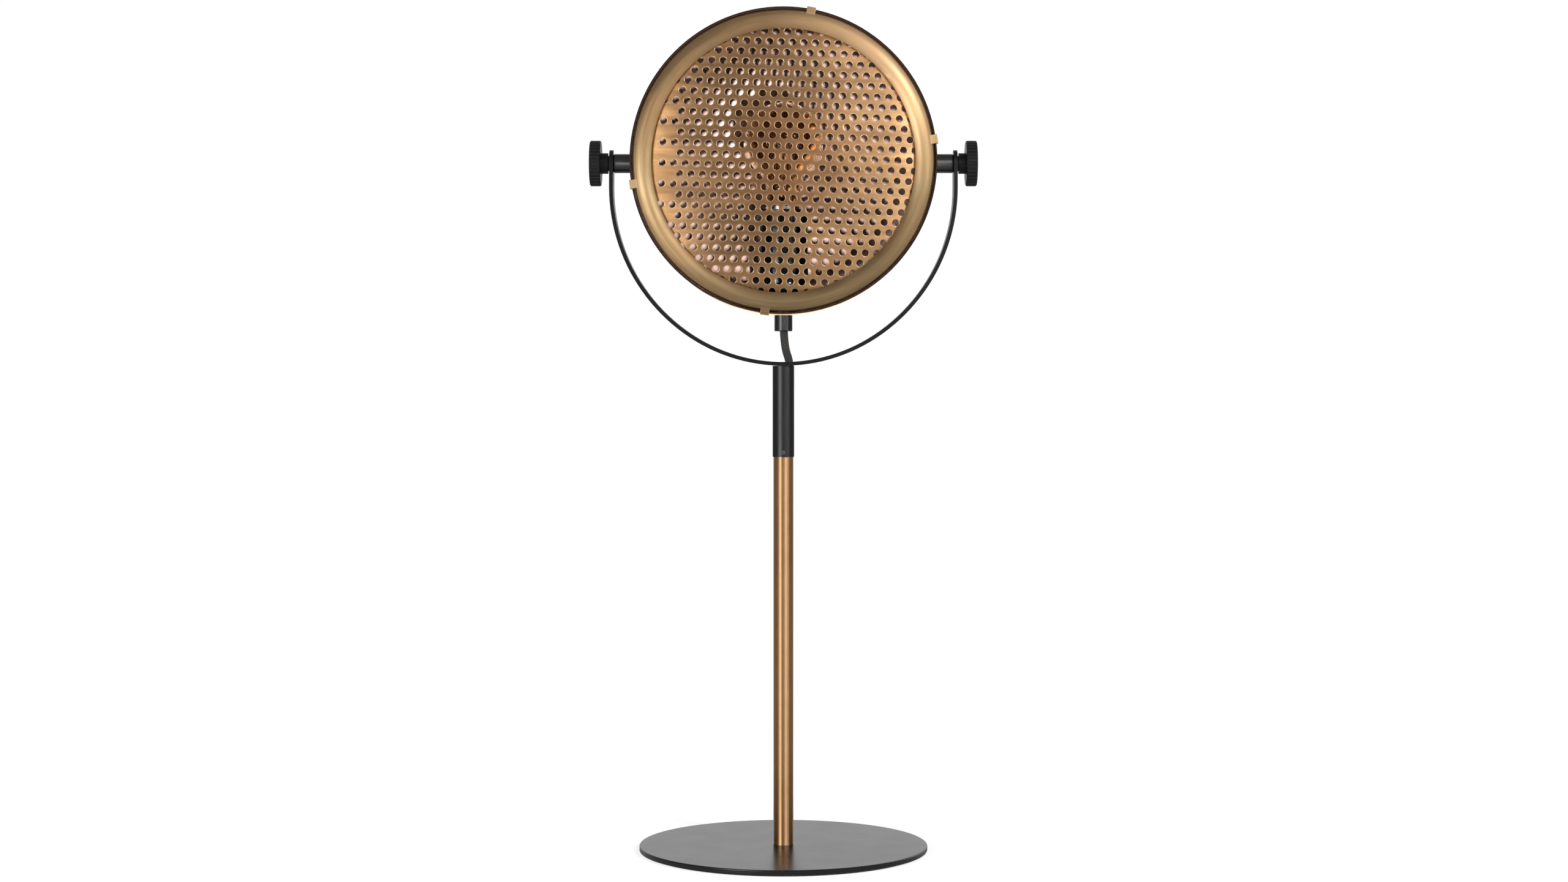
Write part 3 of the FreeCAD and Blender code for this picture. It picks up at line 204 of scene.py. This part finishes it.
BRASS = (0.44, 0.255, 0.12)
BRASS_WARM = (0.52, 0.275, 0.12)
BRASS_DULL = (0.33, 0.23, 0.12)
BLACK = (0.006, 0.006, 0.0062)
LINING = ((0.175, 0.098, 0.064), (0.235, 0.142, 0.098))           # the paint inside the shell
PAINTED_EDGE_SHADE = (0.010, 0.005, 0.003)                                  # painted shade on its front edge and inner lip
PAINTED_LIGHT_AND_SHADE = (                         # painted highlight and shade by side: towards where, how near it starts, how strong, colour
    ((0.5, 0.0, -0.87), -1.0, 0.50, (0.21, 0.155, 0.075)),        # painted shade below
    ((0.64, 0.0, 0.77), 0.66, 0.46, (0.92, 0.59, 0.32)),          # painted highlight at the upper right
    ((-0.99, 0.0, -0.12), 0.72, 0.66, (0.21, 0.145, 0.070)),      # painted shade at the left
)
SHEET_DISH = -0.6                  # the front sheet is shaded as if its height were this times
SHEET_EDGE_DISH = -25.0            # the radius squared, and this times the radius to the fourth,
SHEET_WAVE = 0.0016                # with waves this high
BRAID_THREADS = 8.0                # threads of each set round the lead
BRAID_PITCH = 0.0021               # how far apart they cross along it


def spun_place(shader, centre):
    """The place about an axis along Y: unit direction, distance from the axis, and depth."""
    x, y, z = shader.split(shader.vector("SUBTRACT", shader.place(), centre))
    flat = shader.join(x, 0.0, z)
    return shader.vector("NORMALIZE", flat), shader.vector("LENGTH", flat), y


def paint_light_and_shade(shader, tone, direction):
    """Painted light and shade: the brass is darker towards some sides of the head and brighter
    towards others.
    """
    for towards, nearest, strength, tint in PAINTED_LIGHT_AND_SHADE:
        nearness = shader.vector("DOT_PRODUCT", direction, towards)
        share = shader.span(nearness, nearest, 1.0, 0.0, strength, smooth=True)
        tone = shader.mix(share, tone, tint)
    return tone


def shell_masks(shader, depth):
    """Where the shell is painted inside, and where its front edge and inner lip are painted dark
    as shade.
    """
    outward = shader.vector("DOT_PRODUCT", shader.node("NewGeometry").outputs["Normal"],
                            shader.vector("SUBTRACT", shader.place(), HEAD_AXIS))
    inner = shader.math("LESS_THAN", outward, 0.0)
    lip = shader.math("LESS_THAN", depth, SHELL_LIP)
    lining = shader.math("SUBTRACT", inner, lip, clamp=True)
    painted_edge_shade = shader.math("MAXIMUM", shader.math("LESS_THAN", depth, SHELL_CUT),
                           shader.math("MULTIPLY", inner, lip))
    return lining, painted_edge_shade


def spun_brass(name, lined=False):
    """Brass brushed round the head's axis. The shell's is lined with a bronze-brown paint."""
    shader = new_shader(name)
    direction, radius, depth = spun_place(shader, HEAD_AXIS)
    dx, _, dz = shader.split(direction)
    # Depth and radius together draw the brushed lines round both the wall and the dome.
    turned = shader.join(dx, shader.math("MULTIPLY_ADD", depth, 1.7, radius), dz)
    fine = shader.grain(turned, (9.0, 5200.0, 9.0), 3.0, 0.6)
    broad = shader.grain(turned, (3.0, 420.0, 3.0))
    cloud = shader.noise(shader.place(), 21.0, 3.0, 0.55)
    tone = shader.mix(shader.span(cloud, 0.35, 0.68), BRASS_DULL, BRASS_WARM)
    # Painted highlight and painted shade, by which side of the head the brass faces.
    tone = paint_light_and_shade(shader, shader.mix(0.45, tone, BRASS), direction)
    tone = shader.mix(shader.span(fine, 0.3, 0.7, 0.0, 0.22), tone, (0.36, 0.24, 0.12))
    tone = shader.mix(shader.span(broad, 0.35, 0.75, 0.0, 0.14), tone, (0.95, 0.75, 0.46))
    # Lighter edges: partly wear, partly a painted highlight.
    tone = shader.mix(shader.math("MULTIPLY", shader.edges(0.0004), 0.55), tone,
                      (0.95, 0.72, 0.42))
    rough = shader.math("ADD", shader.span(fine, 0.25, 0.75, -0.05, 0.06),
                        shader.span(cloud, 0.3, 0.7, 0.41, 0.48))
    normal = shader.bump(fine, 0.00002, 0.35, shader.rounded(0.0004))
    metallic, polish = 1.0, 0.0
    if lined:
        lining, painted_edge_shade = shell_masks(shader, depth)
        pores = shader.noise(shader.place(), 900.0, 2.0)
        tone = shader.mix(lining, tone, shader.mix(shader.span(cloud, 0.35, 0.7), *LINING))
        # Painted shade: the shell's front edge and the lip inside it are near black.
        tone = shader.mix(painted_edge_shade, tone, PAINTED_EDGE_SHADE)
        bare_rough = shader.math("MULTIPLY", shader.math("MULTIPLY_ADD", painted_edge_shade, 0.45, rough),
                                 shader.math("SUBTRACT", 1.0, lining))
        paint_rough = shader.math("MULTIPLY", lining, shader.span(pores, 0.3, 0.7, 0.20, 0.28))
        rough = shader.math("ADD", bare_rough, paint_rough)
        polish = shader.math("MULTIPLY", lining, 0.4)
        metallic = shader.math("MULTIPLY_ADD", lining, -0.65, 1.0)
        normal = shader.bump(shader.math("MULTIPLY", pores, lining), 0.00005, 0.5, normal)
    shader.surface(Base_Color=tone, Metallic=metallic, Roughness=rough, Normal=normal,
                   Anisotropic=0.62, Anisotropic_Rotation=0.25,
                   Coat_Weight=polish, Coat_Roughness=0.12,
                   Tangent=shader.vector("CROSS_PRODUCT", (0.0, 1.0, 0.0), direction))
    return shader.owner


def sheet_brass(name):
    """Brass sheet with a straight level grain, slightly dished, and rubbed round the holes.
    Painted highlight on the hole rims, painted shade in its middle, on its back and in its holes.
    """
    shader = new_shader(name)
    place = shader.place()
    fine = shader.grain(place, (45.0, 1.0, 4200.0), 3.0, 0.6)
    broad = shader.grain(place, (9.0, 1.0, 260.0), 3.0)
    cloud = shader.noise(place, 16.0, 3.0, 0.6)
    bands = shader.grain(place, (16.0, 0.0, 95.0), 3.0, 0.6)
    tone = shader.mix(shader.span(cloud, 0.35, 0.68), (0.42, 0.235, 0.105), (0.54, 0.30, 0.135))
    tone = shader.mix(shader.span(broad, 0.35, 0.65, 0.0, 0.55), tone, (0.74, 0.43, 0.20))
    tone = shader.mix(shader.span(bands, 0.42, 0.62, 0.0, 0.60), tone, (0.26, 0.145, 0.07))
    tone = shader.mix(shader.span(fine, 0.3, 0.7, 0.0, 0.22), tone, (0.28, 0.17, 0.08))
    _, radius, _ = spun_place(shader, HEAD_AXIS)
    # Painted shade: the sheet is darker and redder towards its middle.
    tone = shader.mix(shader.span(radius, 0.015, 0.065, 0.55, 0.0, smooth=True), tone,
                      (0.44, 0.20, 0.085))
    # Hole rims: lighter where rubbed, and a painted highlight.
    rubbed = shader.edges(0.0012)
    tone = shader.mix(shader.math("MULTIPLY", rubbed, 0.85), tone, (0.98, 0.84, 0.66))
    # Painted shade: the sheet's back and its hole walls are dark brown.
    facing = shader.vector("DOT_PRODUCT", shader.node("NewGeometry").outputs["Normal"],
                           (0.0, -1.0, 0.0))
    behind = shader.span(facing, 0.6, 0.2)
    tone = shader.mix(behind, tone, (0.085, 0.050, 0.028))
    rough = shader.math("ADD", shader.span(fine, 0.25, 0.75, -0.04, 0.06),
                        shader.span(cloud, 0.3, 0.7, 0.38, 0.46))
    rough = shader.math("MULTIPLY_ADD", rubbed, -0.16, rough)
    square = shader.math("POWER", radius, 2.0)
    slope = shader.math("MULTIPLY_ADD", square, SHEET_EDGE_DISH, SHEET_DISH)
    wave = shader.grain(place, (14.0, 1.0, 60.0))
    height = shader.math("MULTIPLY_ADD", wave, SHEET_WAVE, shader.math("MULTIPLY", square, slope))
    dished = shader.bump(height, 1.0, 1.0, shader.rounded(0.0012))
    shader.surface(Base_Color=tone, Metallic=1.0, Roughness=rough,
                   Normal=shader.bump(fine, 0.00002, 0.35, dished),
                   Anisotropic=0.78, Tangent=shader.join(0.0, 0.0, 1.0))
    return shader.owner


def drawn_brass(name):
    """Brass tube, polished round and faintly lined along its length."""
    shader = new_shader(name)
    x, y, z = shader.split(shader.place())
    dx, dy, _ = shader.split(shader.vector("NORMALIZE", shader.join(x, y, 0.0)))
    turned = shader.join(dx, dy, z)
    lines = shader.grain(turned, (26.0, 26.0, 9.0), 3.0)
    rings = shader.grain(turned, (2.0, 2.0, 3800.0), 2.0, 0.6)
    cloud = shader.noise(shader.place(), 30.0, 3.0, 0.6)
    tone = shader.mix(shader.span(cloud, 0.3, 0.7), (0.58, 0.325, 0.15), (0.72, 0.43, 0.22))
    tone = shader.mix(shader.span(lines, 0.35, 0.75, 0.0, 0.25), tone, (0.80, 0.52, 0.29))
    rough = shader.math("ADD", shader.span(rings, 0.3, 0.7, -0.03, 0.04),
                        shader.span(cloud, 0.3, 0.7, 0.46, 0.52))
    shader.surface(Base_Color=tone, Metallic=1.0, Roughness=rough,
                   Normal=shader.bump(rings, 0.00001, 0.3),
                   Anisotropic=0.92, Tangent=shader.join(0.0, 0.0, 1.0))
    return shader.owner


def coat(name, base, rough_low, rough_high, grain=2600.0, relief=0.00003, rub=0.15,
         gloss=0.25):
    """Black paint, powder coat or rubber, with a fine peel, dust and rubbed edges."""
    shader = new_shader(name)
    place = shader.place()
    peel = shader.noise(place, grain, 2.0, 0.55)
    cloud = shader.noise(place, 38.0, 4.0, 0.6)
    dust = shader.span(shader.noise(place, 5200.0, 1.0), 0.70, 0.78)
    tone = shader.mix(shader.span(cloud, 0.3, 0.7), base, scaled(base, 1.45))
    tone = shader.mix(shader.math("MULTIPLY", dust, 0.25), tone, (0.20, 0.20, 0.21))
    tone = shader.mix(shader.math("MULTIPLY", shader.edges(0.0005), rub), tone,
                      (0.07, 0.07, 0.072))
    rough = shader.math("ADD", shader.span(cloud, 0.3, 0.7, rough_low, rough_high),
                        shader.span(peel, 0.3, 0.7, -0.03, 0.03))
    shader.surface(Base_Color=tone, Metallic=0.0, Roughness=rough,
                   Normal=shader.bump(peel, relief, 0.6), Specular_IOR_Level=gloss)
    return shader.owner


def moulded(name, base, rough_low, rough_high, grain=1500.0, shine=0.0, gloss=0.5):
    """Moulded plastic or bakelite."""
    shader = new_shader(name)
    place = shader.place()
    fine = shader.noise(place, grain, 2.0)
    swirl = shader.noise(place, 60.0, 4.0, 0.65)
    tone = shader.mix(shader.span(swirl, 0.3, 0.7), base, scaled(base, 1.7))
    tone = shader.mix(shader.math("MULTIPLY", shader.edges(0.0004), 0.25), tone,
                      scaled(base, 4.0, 0.03))
    rough = shader.math("ADD", shader.span(swirl, 0.3, 0.7, rough_low, rough_high),
                        shader.span(fine, 0.3, 0.7, -0.025, 0.025))
    shader.surface(Base_Color=tone, Roughness=rough, Normal=shader.bump(fine, 0.00002, 0.5),
                   Coat_Weight=shine, Coat_Roughness=0.08, Specular_IOR_Level=gloss)
    return shader.owner


def plated(name, base, rough_low, rough_high, axis="X"):
    """Turned and plated metal, with rings round its axis that draw its highlights along it."""
    shader = new_shader(name)
    along = [1.0 if key == axis else 0.0 for key in "XYZ"]
    rings = shader.grain(shader.place(), tuple(4200.0 * share for share in along))
    cloud = shader.noise(shader.place(), 90.0, 3.0, 0.6)
    tone = shader.mix(shader.span(cloud, 0.3, 0.7), base, scaled(base, 1.3))
    tone = shader.mix(shader.math("MULTIPLY", shader.edges(0.0003), 0.3), tone,
                      scaled(base, 2.0, 0.1))
    rough = shader.math("ADD", shader.span(cloud, 0.3, 0.7, rough_low, rough_high),
                        shader.span(rings, 0.3, 0.7, -0.03, 0.05))
    shader.surface(Base_Color=tone, Metallic=1.0, Roughness=rough,
                   Normal=shader.bump(rings, 0.00001, 0.35),
                   Anisotropic=0.75, Tangent=shader.join(*along))
    return shader.owner


def glass(name, base, roughness):
    """Blown glass, with faint streaks in its colour and thickness."""
    shader = new_shader(name)
    place = shader.place()
    flow = shader.noise(shader.vector("MULTIPLY", place, (1.0, 1.0, 0.35)), 70.0, 3.0)
    tone = shader.mix(shader.span(flow, 0.3, 0.7, 0.0, 0.12), base, scaled(base, 0.72))
    shader.surface(Base_Color=tone, Transmission_Weight=1.0, IOR=1.45,
                   Roughness=shader.span(flow, 0.3, 0.7, roughness, roughness + 0.02),
                   Normal=shader.bump(flow, 0.0003, 0.2))
    return shader.owner


def braid(name):
    """Braided textile: two sets of threads that pass over and under each other."""
    shader = new_shader(name)
    travelled, turn, _ = shader.split(shader.node("UVMap", uv_map="along").outputs[0])
    run = shader.math("MULTIPLY", travelled, 1.0 / BRAID_PITCH)
    turns = shader.math("MULTIPLY", turn, BRAID_THREADS)
    one = shader.math("ADD", run, turns)
    two = shader.math("SUBTRACT", run, turns)
    crossings = shader.node("TexChecker", {"Vector": shader.join(one, two, 0.0), "Scale": 1.0})
    over = crossings.outputs["Fac"]
    under = shader.math("SUBTRACT", 1.0, over)

    def thread(value):
        """The round top of a thread: 1 along its middle, 0 at its edges."""
        across = shader.math("MULTIPLY_ADD", shader.math("FRACT", value), 2.0, -1.0)
        edge = shader.math("POWER", shader.math("ABSOLUTE", across), 3.0)
        return shader.math("SUBTRACT", 1.0, edge)

    top = shader.math("ADD", shader.math("MULTIPLY", thread(one), over),
                      shader.math("MULTIPLY", thread(two), under))
    fuzz = shader.noise(shader.place(), 3500.0, 3.0, 0.7)
    # Painted shade: the threads are darker towards their edges, where they dip under each other.
    tone = shader.mix(top, (0.006, 0.006, 0.006), (0.030, 0.029, 0.029))
    tone = shader.mix(shader.span(fuzz, 0.52, 0.72, 0.0, 0.35), tone, (0.11, 0.105, 0.10))
    shader.surface(Base_Color=tone, Roughness=shader.span(fuzz, 0.3, 0.7, 0.62, 0.80),
                   Normal=shader.bump(shader.math("MULTIPLY_ADD", fuzz, 0.25, top), 0.0003, 0.9),
                   Sheen_Weight=0.35, Sheen_Roughness=0.5)
    return shader.owner


def filament(name):
    """Fine drawn wire, blued by heat in places."""
    shader = new_shader(name)
    cloud = shader.noise(shader.place(), 400.0, 2.0)
    tone = shader.mix(shader.span(cloud, 0.35, 0.7), (0.42, 0.38, 0.33), (0.62, 0.58, 0.52))
    shader.surface(Base_Color=tone, Metallic=1.0,
                   Roughness=shader.span(cloud, 0.3, 0.7, 0.25, 0.38),
                   Normal=shader.bump(cloud, 0.00002, 0.4))
    return shader.owner


spun = spun_brass("brass_spun")
sheet = sheet_brass("brass_sheet")
shell_brass = spun_brass("brass_shell_lined", lined=True)
stem_brass = drawn_brass("brass_stem")
base_coat = coat("black_base_coat", BLACK, 0.25, 0.28, grain=3200.0, relief=0.000012, rub=0.1,
                 gloss=0.42)
strip_coat = coat("black_strip_coat", BLACK, 0.32, 0.38)
sleeve_coat = coat("black_sleeve_coat", (0.008, 0.008, 0.0083), 0.34, 0.40, gloss=0.38)
knob_plastic = moulded("black_knob_plastic", (0.006, 0.006, 0.006), 0.34, 0.42, gloss=0.25)
grip_plastic = moulded("black_grip_plastic", (0.014, 0.012, 0.013), 0.30, 0.38)
bakelite = moulded("black_bakelite", (0.008, 0.007, 0.007), 0.14, 0.22, grain=900.0, shine=0.4)
core_white = moulded("white_porcelain", (0.46, 0.45, 0.43), 0.16, 0.24, grain=700.0, shine=0.3)
black_nickel = plated("black_nickel", (0.085, 0.085, 0.088), 0.34, 0.42)
steel = plated("bright_steel", (0.52, 0.52, 0.53), 0.26, 0.38, "Z")
cap_metal = plated("bulb_cap_nickel", (0.66, 0.62, 0.56), 0.22, 0.34, "Z")
contact_brass = plated("contact_brass", (0.70, 0.50, 0.24), 0.28, 0.40, "Y")
amber = glass("amber_glass", (0.95, 0.70, 0.40), 0.0)
clear = glass("clear_glass", (0.95, 0.93, 0.88), 0.02)
rubber = coat("black_rubber", (0.018, 0.018, 0.018), 0.72, 0.84, grain=1500.0,
              relief=0.00006, rub=0.0)
silicone = coat("black_wire_sleeve", (0.020, 0.020, 0.021), 0.52, 0.62, grain=2000.0,
                relief=0.00004, rub=0.0)
heated_wire = filament("filament_wire")
braided = braid("black_braid")

FINISHES = {
    spun: ["front_ring"],
    sheet: ["grille"],
    shell_brass: ["head_shell"],
    stem_brass: ["stem"],
    base_coat: ["base_plate"],
    strip_coat: ["yoke", "grille_retainer"],
    sleeve_coat: ["sleeve"],
    knob_plastic: ["knob_right", "knob_left"],
    grip_plastic: ["cord_grip", "outlet_grommet", "lead_grommet", "lead_splice"],
    bakelite: ["holder_cap", "holder_skirt", "holder_ring", "bulb_insulator"],
    core_white: ["holder_core"],
    black_nickel: ["trunnion_right", "trunnion_left", "yoke_screw", "sleeve_grub_screw"],
    steel: ["base_screw", "stem_plug", "stem_spigot", "stem_grub_screw", "sleeve_plug",
            "trunnion_washer_right", "trunnion_nut_right", "trunnion_washer_left",
            "trunnion_nut_left", "stud_right", "stud_left", "holder_nipple", "nipple_washer"],
    cap_metal: ["bulb_cap", "bulb_tip", "holder_thread"],
    contact_brass: ["holder_contact", "holder_terminals"],
    amber: ["bulb_glass"],
    clear: ["bulb_mount"],
    rubber: ["base_pad"],
    silicone: ["lead_wires"],
    heated_wire: ["bulb_filament", "bulb_supports"],
    braided: ["head_lead"],
}
for finish, names in FINISHES.items():
    for name in names:
        nodes[name].material_slots[0].material = finish


# ---------------------------------------------------------------- new pieces

def mesh_object(name, vertices, faces, material):
    """A new mesh object in the scene."""
    mesh = bpy.data.meshes.new(name)
    mesh.from_pydata(vertices, [], faces)
    mesh.materials.append(material)
    made = bpy.data.objects.new(name, mesh)
    bpy.context.scene.collection.objects.link(made)
    return made


# ---------------------------------------------------------------- the braided lead

def spline_points(route):
    """The points of the smooth line through a route, as Blender evaluates it."""
    curve = bpy.data.curves.new("lead_line", "CURVE")
    curve.dimensions = "3D"
    curve.resolution_u = 16
    spline = curve.splines.new("NURBS")
    spline.points.add(len(route) - 1)
    for point, place in zip(spline.points, route):
        point.co = (*place, 1.0)
    spline.order_u = 3
    spline.use_endpoint_u = True
    holder = bpy.data.objects.new("lead_line", curve)
    bpy.context.scene.collection.objects.link(holder)
    ready = holder.evaluated_get(bpy.context.evaluated_depsgraph_get())
    line = bpy.data.meshes.new_from_object(ready)
    points = [vertex.co.copy() for vertex in line.vertices]
    bpy.data.objects.remove(holder)
    bpy.data.curves.remove(curve)
    bpy.data.meshes.remove(line)
    return points


def tube(name, points, radius, sides, material):
    """A closed mesh tube along the points, with its length and its turn as UVs."""
    vertices, faces, coordinates = [], [], []
    across = Vector((1.0, 0.0, 0.0))
    travelled = [0.0]
    for before, after in zip(points, points[1:]):
        travelled.append(travelled[-1] + (after - before).length)
    for place, point in enumerate(points):
        ahead = points[min(place + 1, len(points) - 1)] - points[max(place - 1, 0)]
        ahead.normalize()
        across = (across - ahead * across.dot(ahead)).normalized()
        beside = ahead.cross(across)
        for side in range(sides):
            turn = 2.0 * math.pi * side / sides
            vertices.append(point + (across * math.cos(turn) + beside * math.sin(turn)) * radius)
    for place in range(len(points) - 1):
        for side in range(sides):
            after = (side + 1) % sides
            corners = (place * sides + side, place * sides + after,
                       (place + 1) * sides + after, (place + 1) * sides + side)
            faces.append(corners)
            coordinates += [(travelled[place], side / sides),
                            (travelled[place], (side + 1) / sides),
                            (travelled[place + 1], (side + 1) / sides),
                            (travelled[place + 1], side / sides)]
    for place, order in ((0, -1), (len(points) - 1, 1)):
        rim = [place * sides + side for side in range(sides)][::order]
        faces.append(tuple(rim))
        coordinates += [(travelled[place], side / sides) for side in range(sides)][::order]
    made = mesh_object(name, vertices, faces, material)
    along = made.data.uv_layers.new(name="along")
    for place, pair in enumerate(coordinates):
        along.data[place].uv = pair
    made.data.polygons.foreach_set("use_smooth", [len(face) == 4 for face in faces])
    made.data.update()
    return made


lead_points = spline_points(LEAD_ROUTE)
lead = tube("braided_lead", lead_points, LEAD_DIAMETER / 2.0, LEAD_SIDES, braided)
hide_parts("head_lead")
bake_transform(lead)


# ---------------------------------------------------------------- the front ring's outer roll

def turned_ring(name, section, sides, material):
    """A closed ring: a section of (depth, radius) corners turned about the head's axis."""
    vertices, faces = [], []
    count = len(section)
    for side in range(sides):
        turn = 2.0 * math.pi * side / sides
        for depth, radius in section:
            vertices.append((radius * math.sin(turn), depth,
                             HEAD_AXIS[2] + radius * math.cos(turn)))
    for side in range(sides):
        here, there = side * count, (side + 1) % sides * count
        for corner in range(count):
            after = (corner + 1) % count
            faces.append((here + corner, here + after, there + after, there + corner))
    made = mesh_object(name, vertices, faces, material)
    made.data.polygons.foreach_set("use_smooth", [True] * len(faces))
    made.data.set_sharp_from_angle(angle=math.radians(30.0))
    made.data.update()
    return made


def roll_section(front_steps=8, back_steps=4):
    """The roll leaves the ring's face along its slope and curls in to the flange behind it."""
    middle_depth = RING_FACE + ROLL_RADIUS * math.cos(RING_SLOPE)
    middle_radius = RING_RADIUS - ROLL_RADIUS * math.sin(RING_SLOPE)
    corners = [(RING_FACE + ROLL_START, RING_RADIUS - ROLL_TUCK)]
    for step in range(front_steps + 1):
        turn = RING_SLOPE + (math.pi / 2.0 - RING_SLOPE) * step / front_steps
        corners.append((middle_depth - ROLL_RADIUS * math.cos(turn),
                        middle_radius + ROLL_RADIUS * math.sin(turn)))
    over = middle_radius + ROLL_RADIUS - RING_RADIUS
    for step in range(1, back_steps + 1):
        turn = math.pi / 2.0 * step / back_steps
        corners.append((middle_depth + ROLL_BACK * math.sin(turn),
                        RING_RADIUS + over * math.cos(turn)))
    corners.append((middle_depth + ROLL_BACK, RING_RADIUS - ROLL_TUCK))
    return corners


ring_roll = turned_ring("front_ring_roll", roll_section(), ROLL_SIDES, spun)
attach(ring_roll, "front")


# ---------------------------------------------------------------- floor, world, lamps, camera

WHITE = (1.0, 1.0, 1.0)
FLOOR_REACH = 30.0
FLOOR_PALE = (0.80, 0.80, 0.80)
PAINTED_SHADE_NEAR = 0.11                  # the floor's glow is dimmed this near the lamp's foot, a painted shade
PAINTED_SHADE_FAR = 0.32                   # and white from here on
LAMPS = {                          # bearing, height, width, tall, distance, power
    "softbox_left": (-37.0, 0.42, 1.20, 0.80, 2.3, 19.0),
    "softbox_right": (31.0, 1.10, 0.70, 1.50, 2.3, 13.0),
    "softbox_side": (54.0, 0.58, 0.35, 0.70, 2.3, 6.0),
    "softbox_middle": (12.0, 0.92, 0.26, 0.30, 2.2, 3.2),
    "softbox_over": (4.0, 1.90, 0.90, 0.50, 1.9, 1.5),
    "key_right": (31.0, 1.30, 0.04, 0.04, 2.3, 9.0),
    "key_left": (-36.0, 0.40, 0.04, 0.04, 2.3, 5.5),
}
SPOT_INSIDE = (7.2, 0.292, 0.03, 0.03, 1.15, 172.0)
SPOT_COLOUR = (0.74, 0.82, 1.0)
CAMERA_PLACE = (0.00045, -2.07, 0.370)
CAMERA_LENS = 63.55                # mm, with a sensor 36 mm wide
CAMERA_SHIFT = -0.0544


def reflected(shader, seen):
    """1 for a ray that comes by way of a glossy or a clear surface."""
    return shader.math("MAXIMUM", seen.outputs["Is Glossy Ray"],
                       seen.outputs["Is Transmission Ray"])


def floor():
    """A wide pale floor that is white to the camera and keeps the lamp's shadow, with a painted
    shade round the lamp's foot.
    """
    shader = new_shader("pale_floor")
    seen = shader.node("LightPath")
    diffuse = shader.node("BsdfDiffuse", {"Color": colour(FLOOR_PALE)})
    away = shader.vector("LENGTH", shader.place())
    # Painted shade: the glow seen by the camera is dimmer near the lamp's foot.
    level = shader.span(away, PAINTED_SHADE_NEAR, PAINTED_SHADE_FAR, 0.74, 1.0, smooth=True)
    mirrored = shader.math("MULTIPLY", reflected(shader, seen), 0.10)
    strength = shader.math("MULTIPLY_ADD", seen.outputs["Is Camera Ray"], level, mirrored)
    glow = shader.node("Emission", {"Color": colour(WHITE), "Strength": strength})
    both = shader.node("AddShader")
    shader.feed(both.inputs[0], diffuse.outputs[0])
    shader.feed(both.inputs[1], glow.outputs[0])
    shader.feed(shader.output.inputs["Surface"], both.outputs[0])
    corners = [(-FLOOR_REACH, -FLOOR_REACH, 0.0), (FLOOR_REACH, -FLOOR_REACH, 0.0),
               (FLOOR_REACH, FLOOR_REACH, 0.0), (-FLOOR_REACH, FLOOR_REACH, 0.0)]
    mesh_object("floor", corners, [(0, 1, 2, 3)], shader.owner)


def world():
    """White to the camera. Glossy and clear surfaces see a dim studio with a white backdrop."""
    shader = Shader(bpy.data.worlds.new("studio"), "ShaderNodeOutputWorld")
    bpy.context.scene.world = shader.owner
    seen = shader.node("LightPath")
    _, back, up = shader.split(shader.node("TexCoord").outputs["Generated"])
    backdrop = shader.span(back, 0.55, 0.9, 0.0, 1.0, smooth=True)
    room = shader.mix(backdrop, (0.10, 0.10, 0.103), (0.95, 0.95, 0.95))
    ceiling = shader.span(up, 0.35, 0.9, 0.0, 0.6, smooth=True)
    room = shader.mix(ceiling, room, (0.40, 0.40, 0.41))
    soft = shader.mix(reflected(shader, seen), (0.10, 0.10, 0.102), room)
    shown = shader.mix(seen.outputs["Is Camera Ray"], soft, WHITE)
    shader.feed(shader.output.inputs["Surface"],
                shader.node("Background", {"Color": shown, "Strength": 1.0}).outputs[0])


def area_lamp(name, bearing, height, width, tall, distance, power, aim=(0.0, 0.0, 0.40)):
    """An area lamp. Its bearing is in degrees from the camera's side, positive to the right."""
    lamp = bpy.data.lights.new(name, "AREA")
    lamp.shape = "RECTANGLE"
    lamp.size = width
    lamp.size_y = tall
    lamp.energy = power
    made = bpy.data.objects.new(name, lamp)
    bpy.context.scene.collection.objects.link(made)
    turn = math.radians(bearing)
    made.location = (distance * math.sin(turn), -distance * math.cos(turn), height)
    made.rotation_euler = (Vector(aim) - made.location).to_track_quat("-Z", "Y").to_euler()
    return made


def inside_lamp():
    """A small hard lamp for the shell alone: through the front's holes it dots the lining."""
    made = area_lamp("spot_inside", *SPOT_INSIDE, aim=HEAD_AXIS)
    made.data.color = SPOT_COLOUR
    made.visible_camera = False
    reached = bpy.data.collections.new("spot_inside_reaches")
    reached.objects.link(nodes["head_shell"])
    made.light_linking.receiver_collection = reached


def camera():
    lens = bpy.data.cameras.new("camera")
    lens.sensor_width = 36.0
    lens.lens = CAMERA_LENS
    lens.shift_y = CAMERA_SHIFT
    lens.dof.use_dof = False
    made = bpy.data.objects.new("camera", lens)
    bpy.context.scene.collection.objects.link(made)
    made.location = CAMERA_PLACE
    made.rotation_euler = (math.radians(90.0), 0.0, 0.0)
    bpy.context.scene.camera = made


floor()
world()
for name, settings in LAMPS.items():
    area_lamp(name, *settings)
inside_lamp()
camera()
bpy.context.scene.view_settings.view_transform = "Standard"
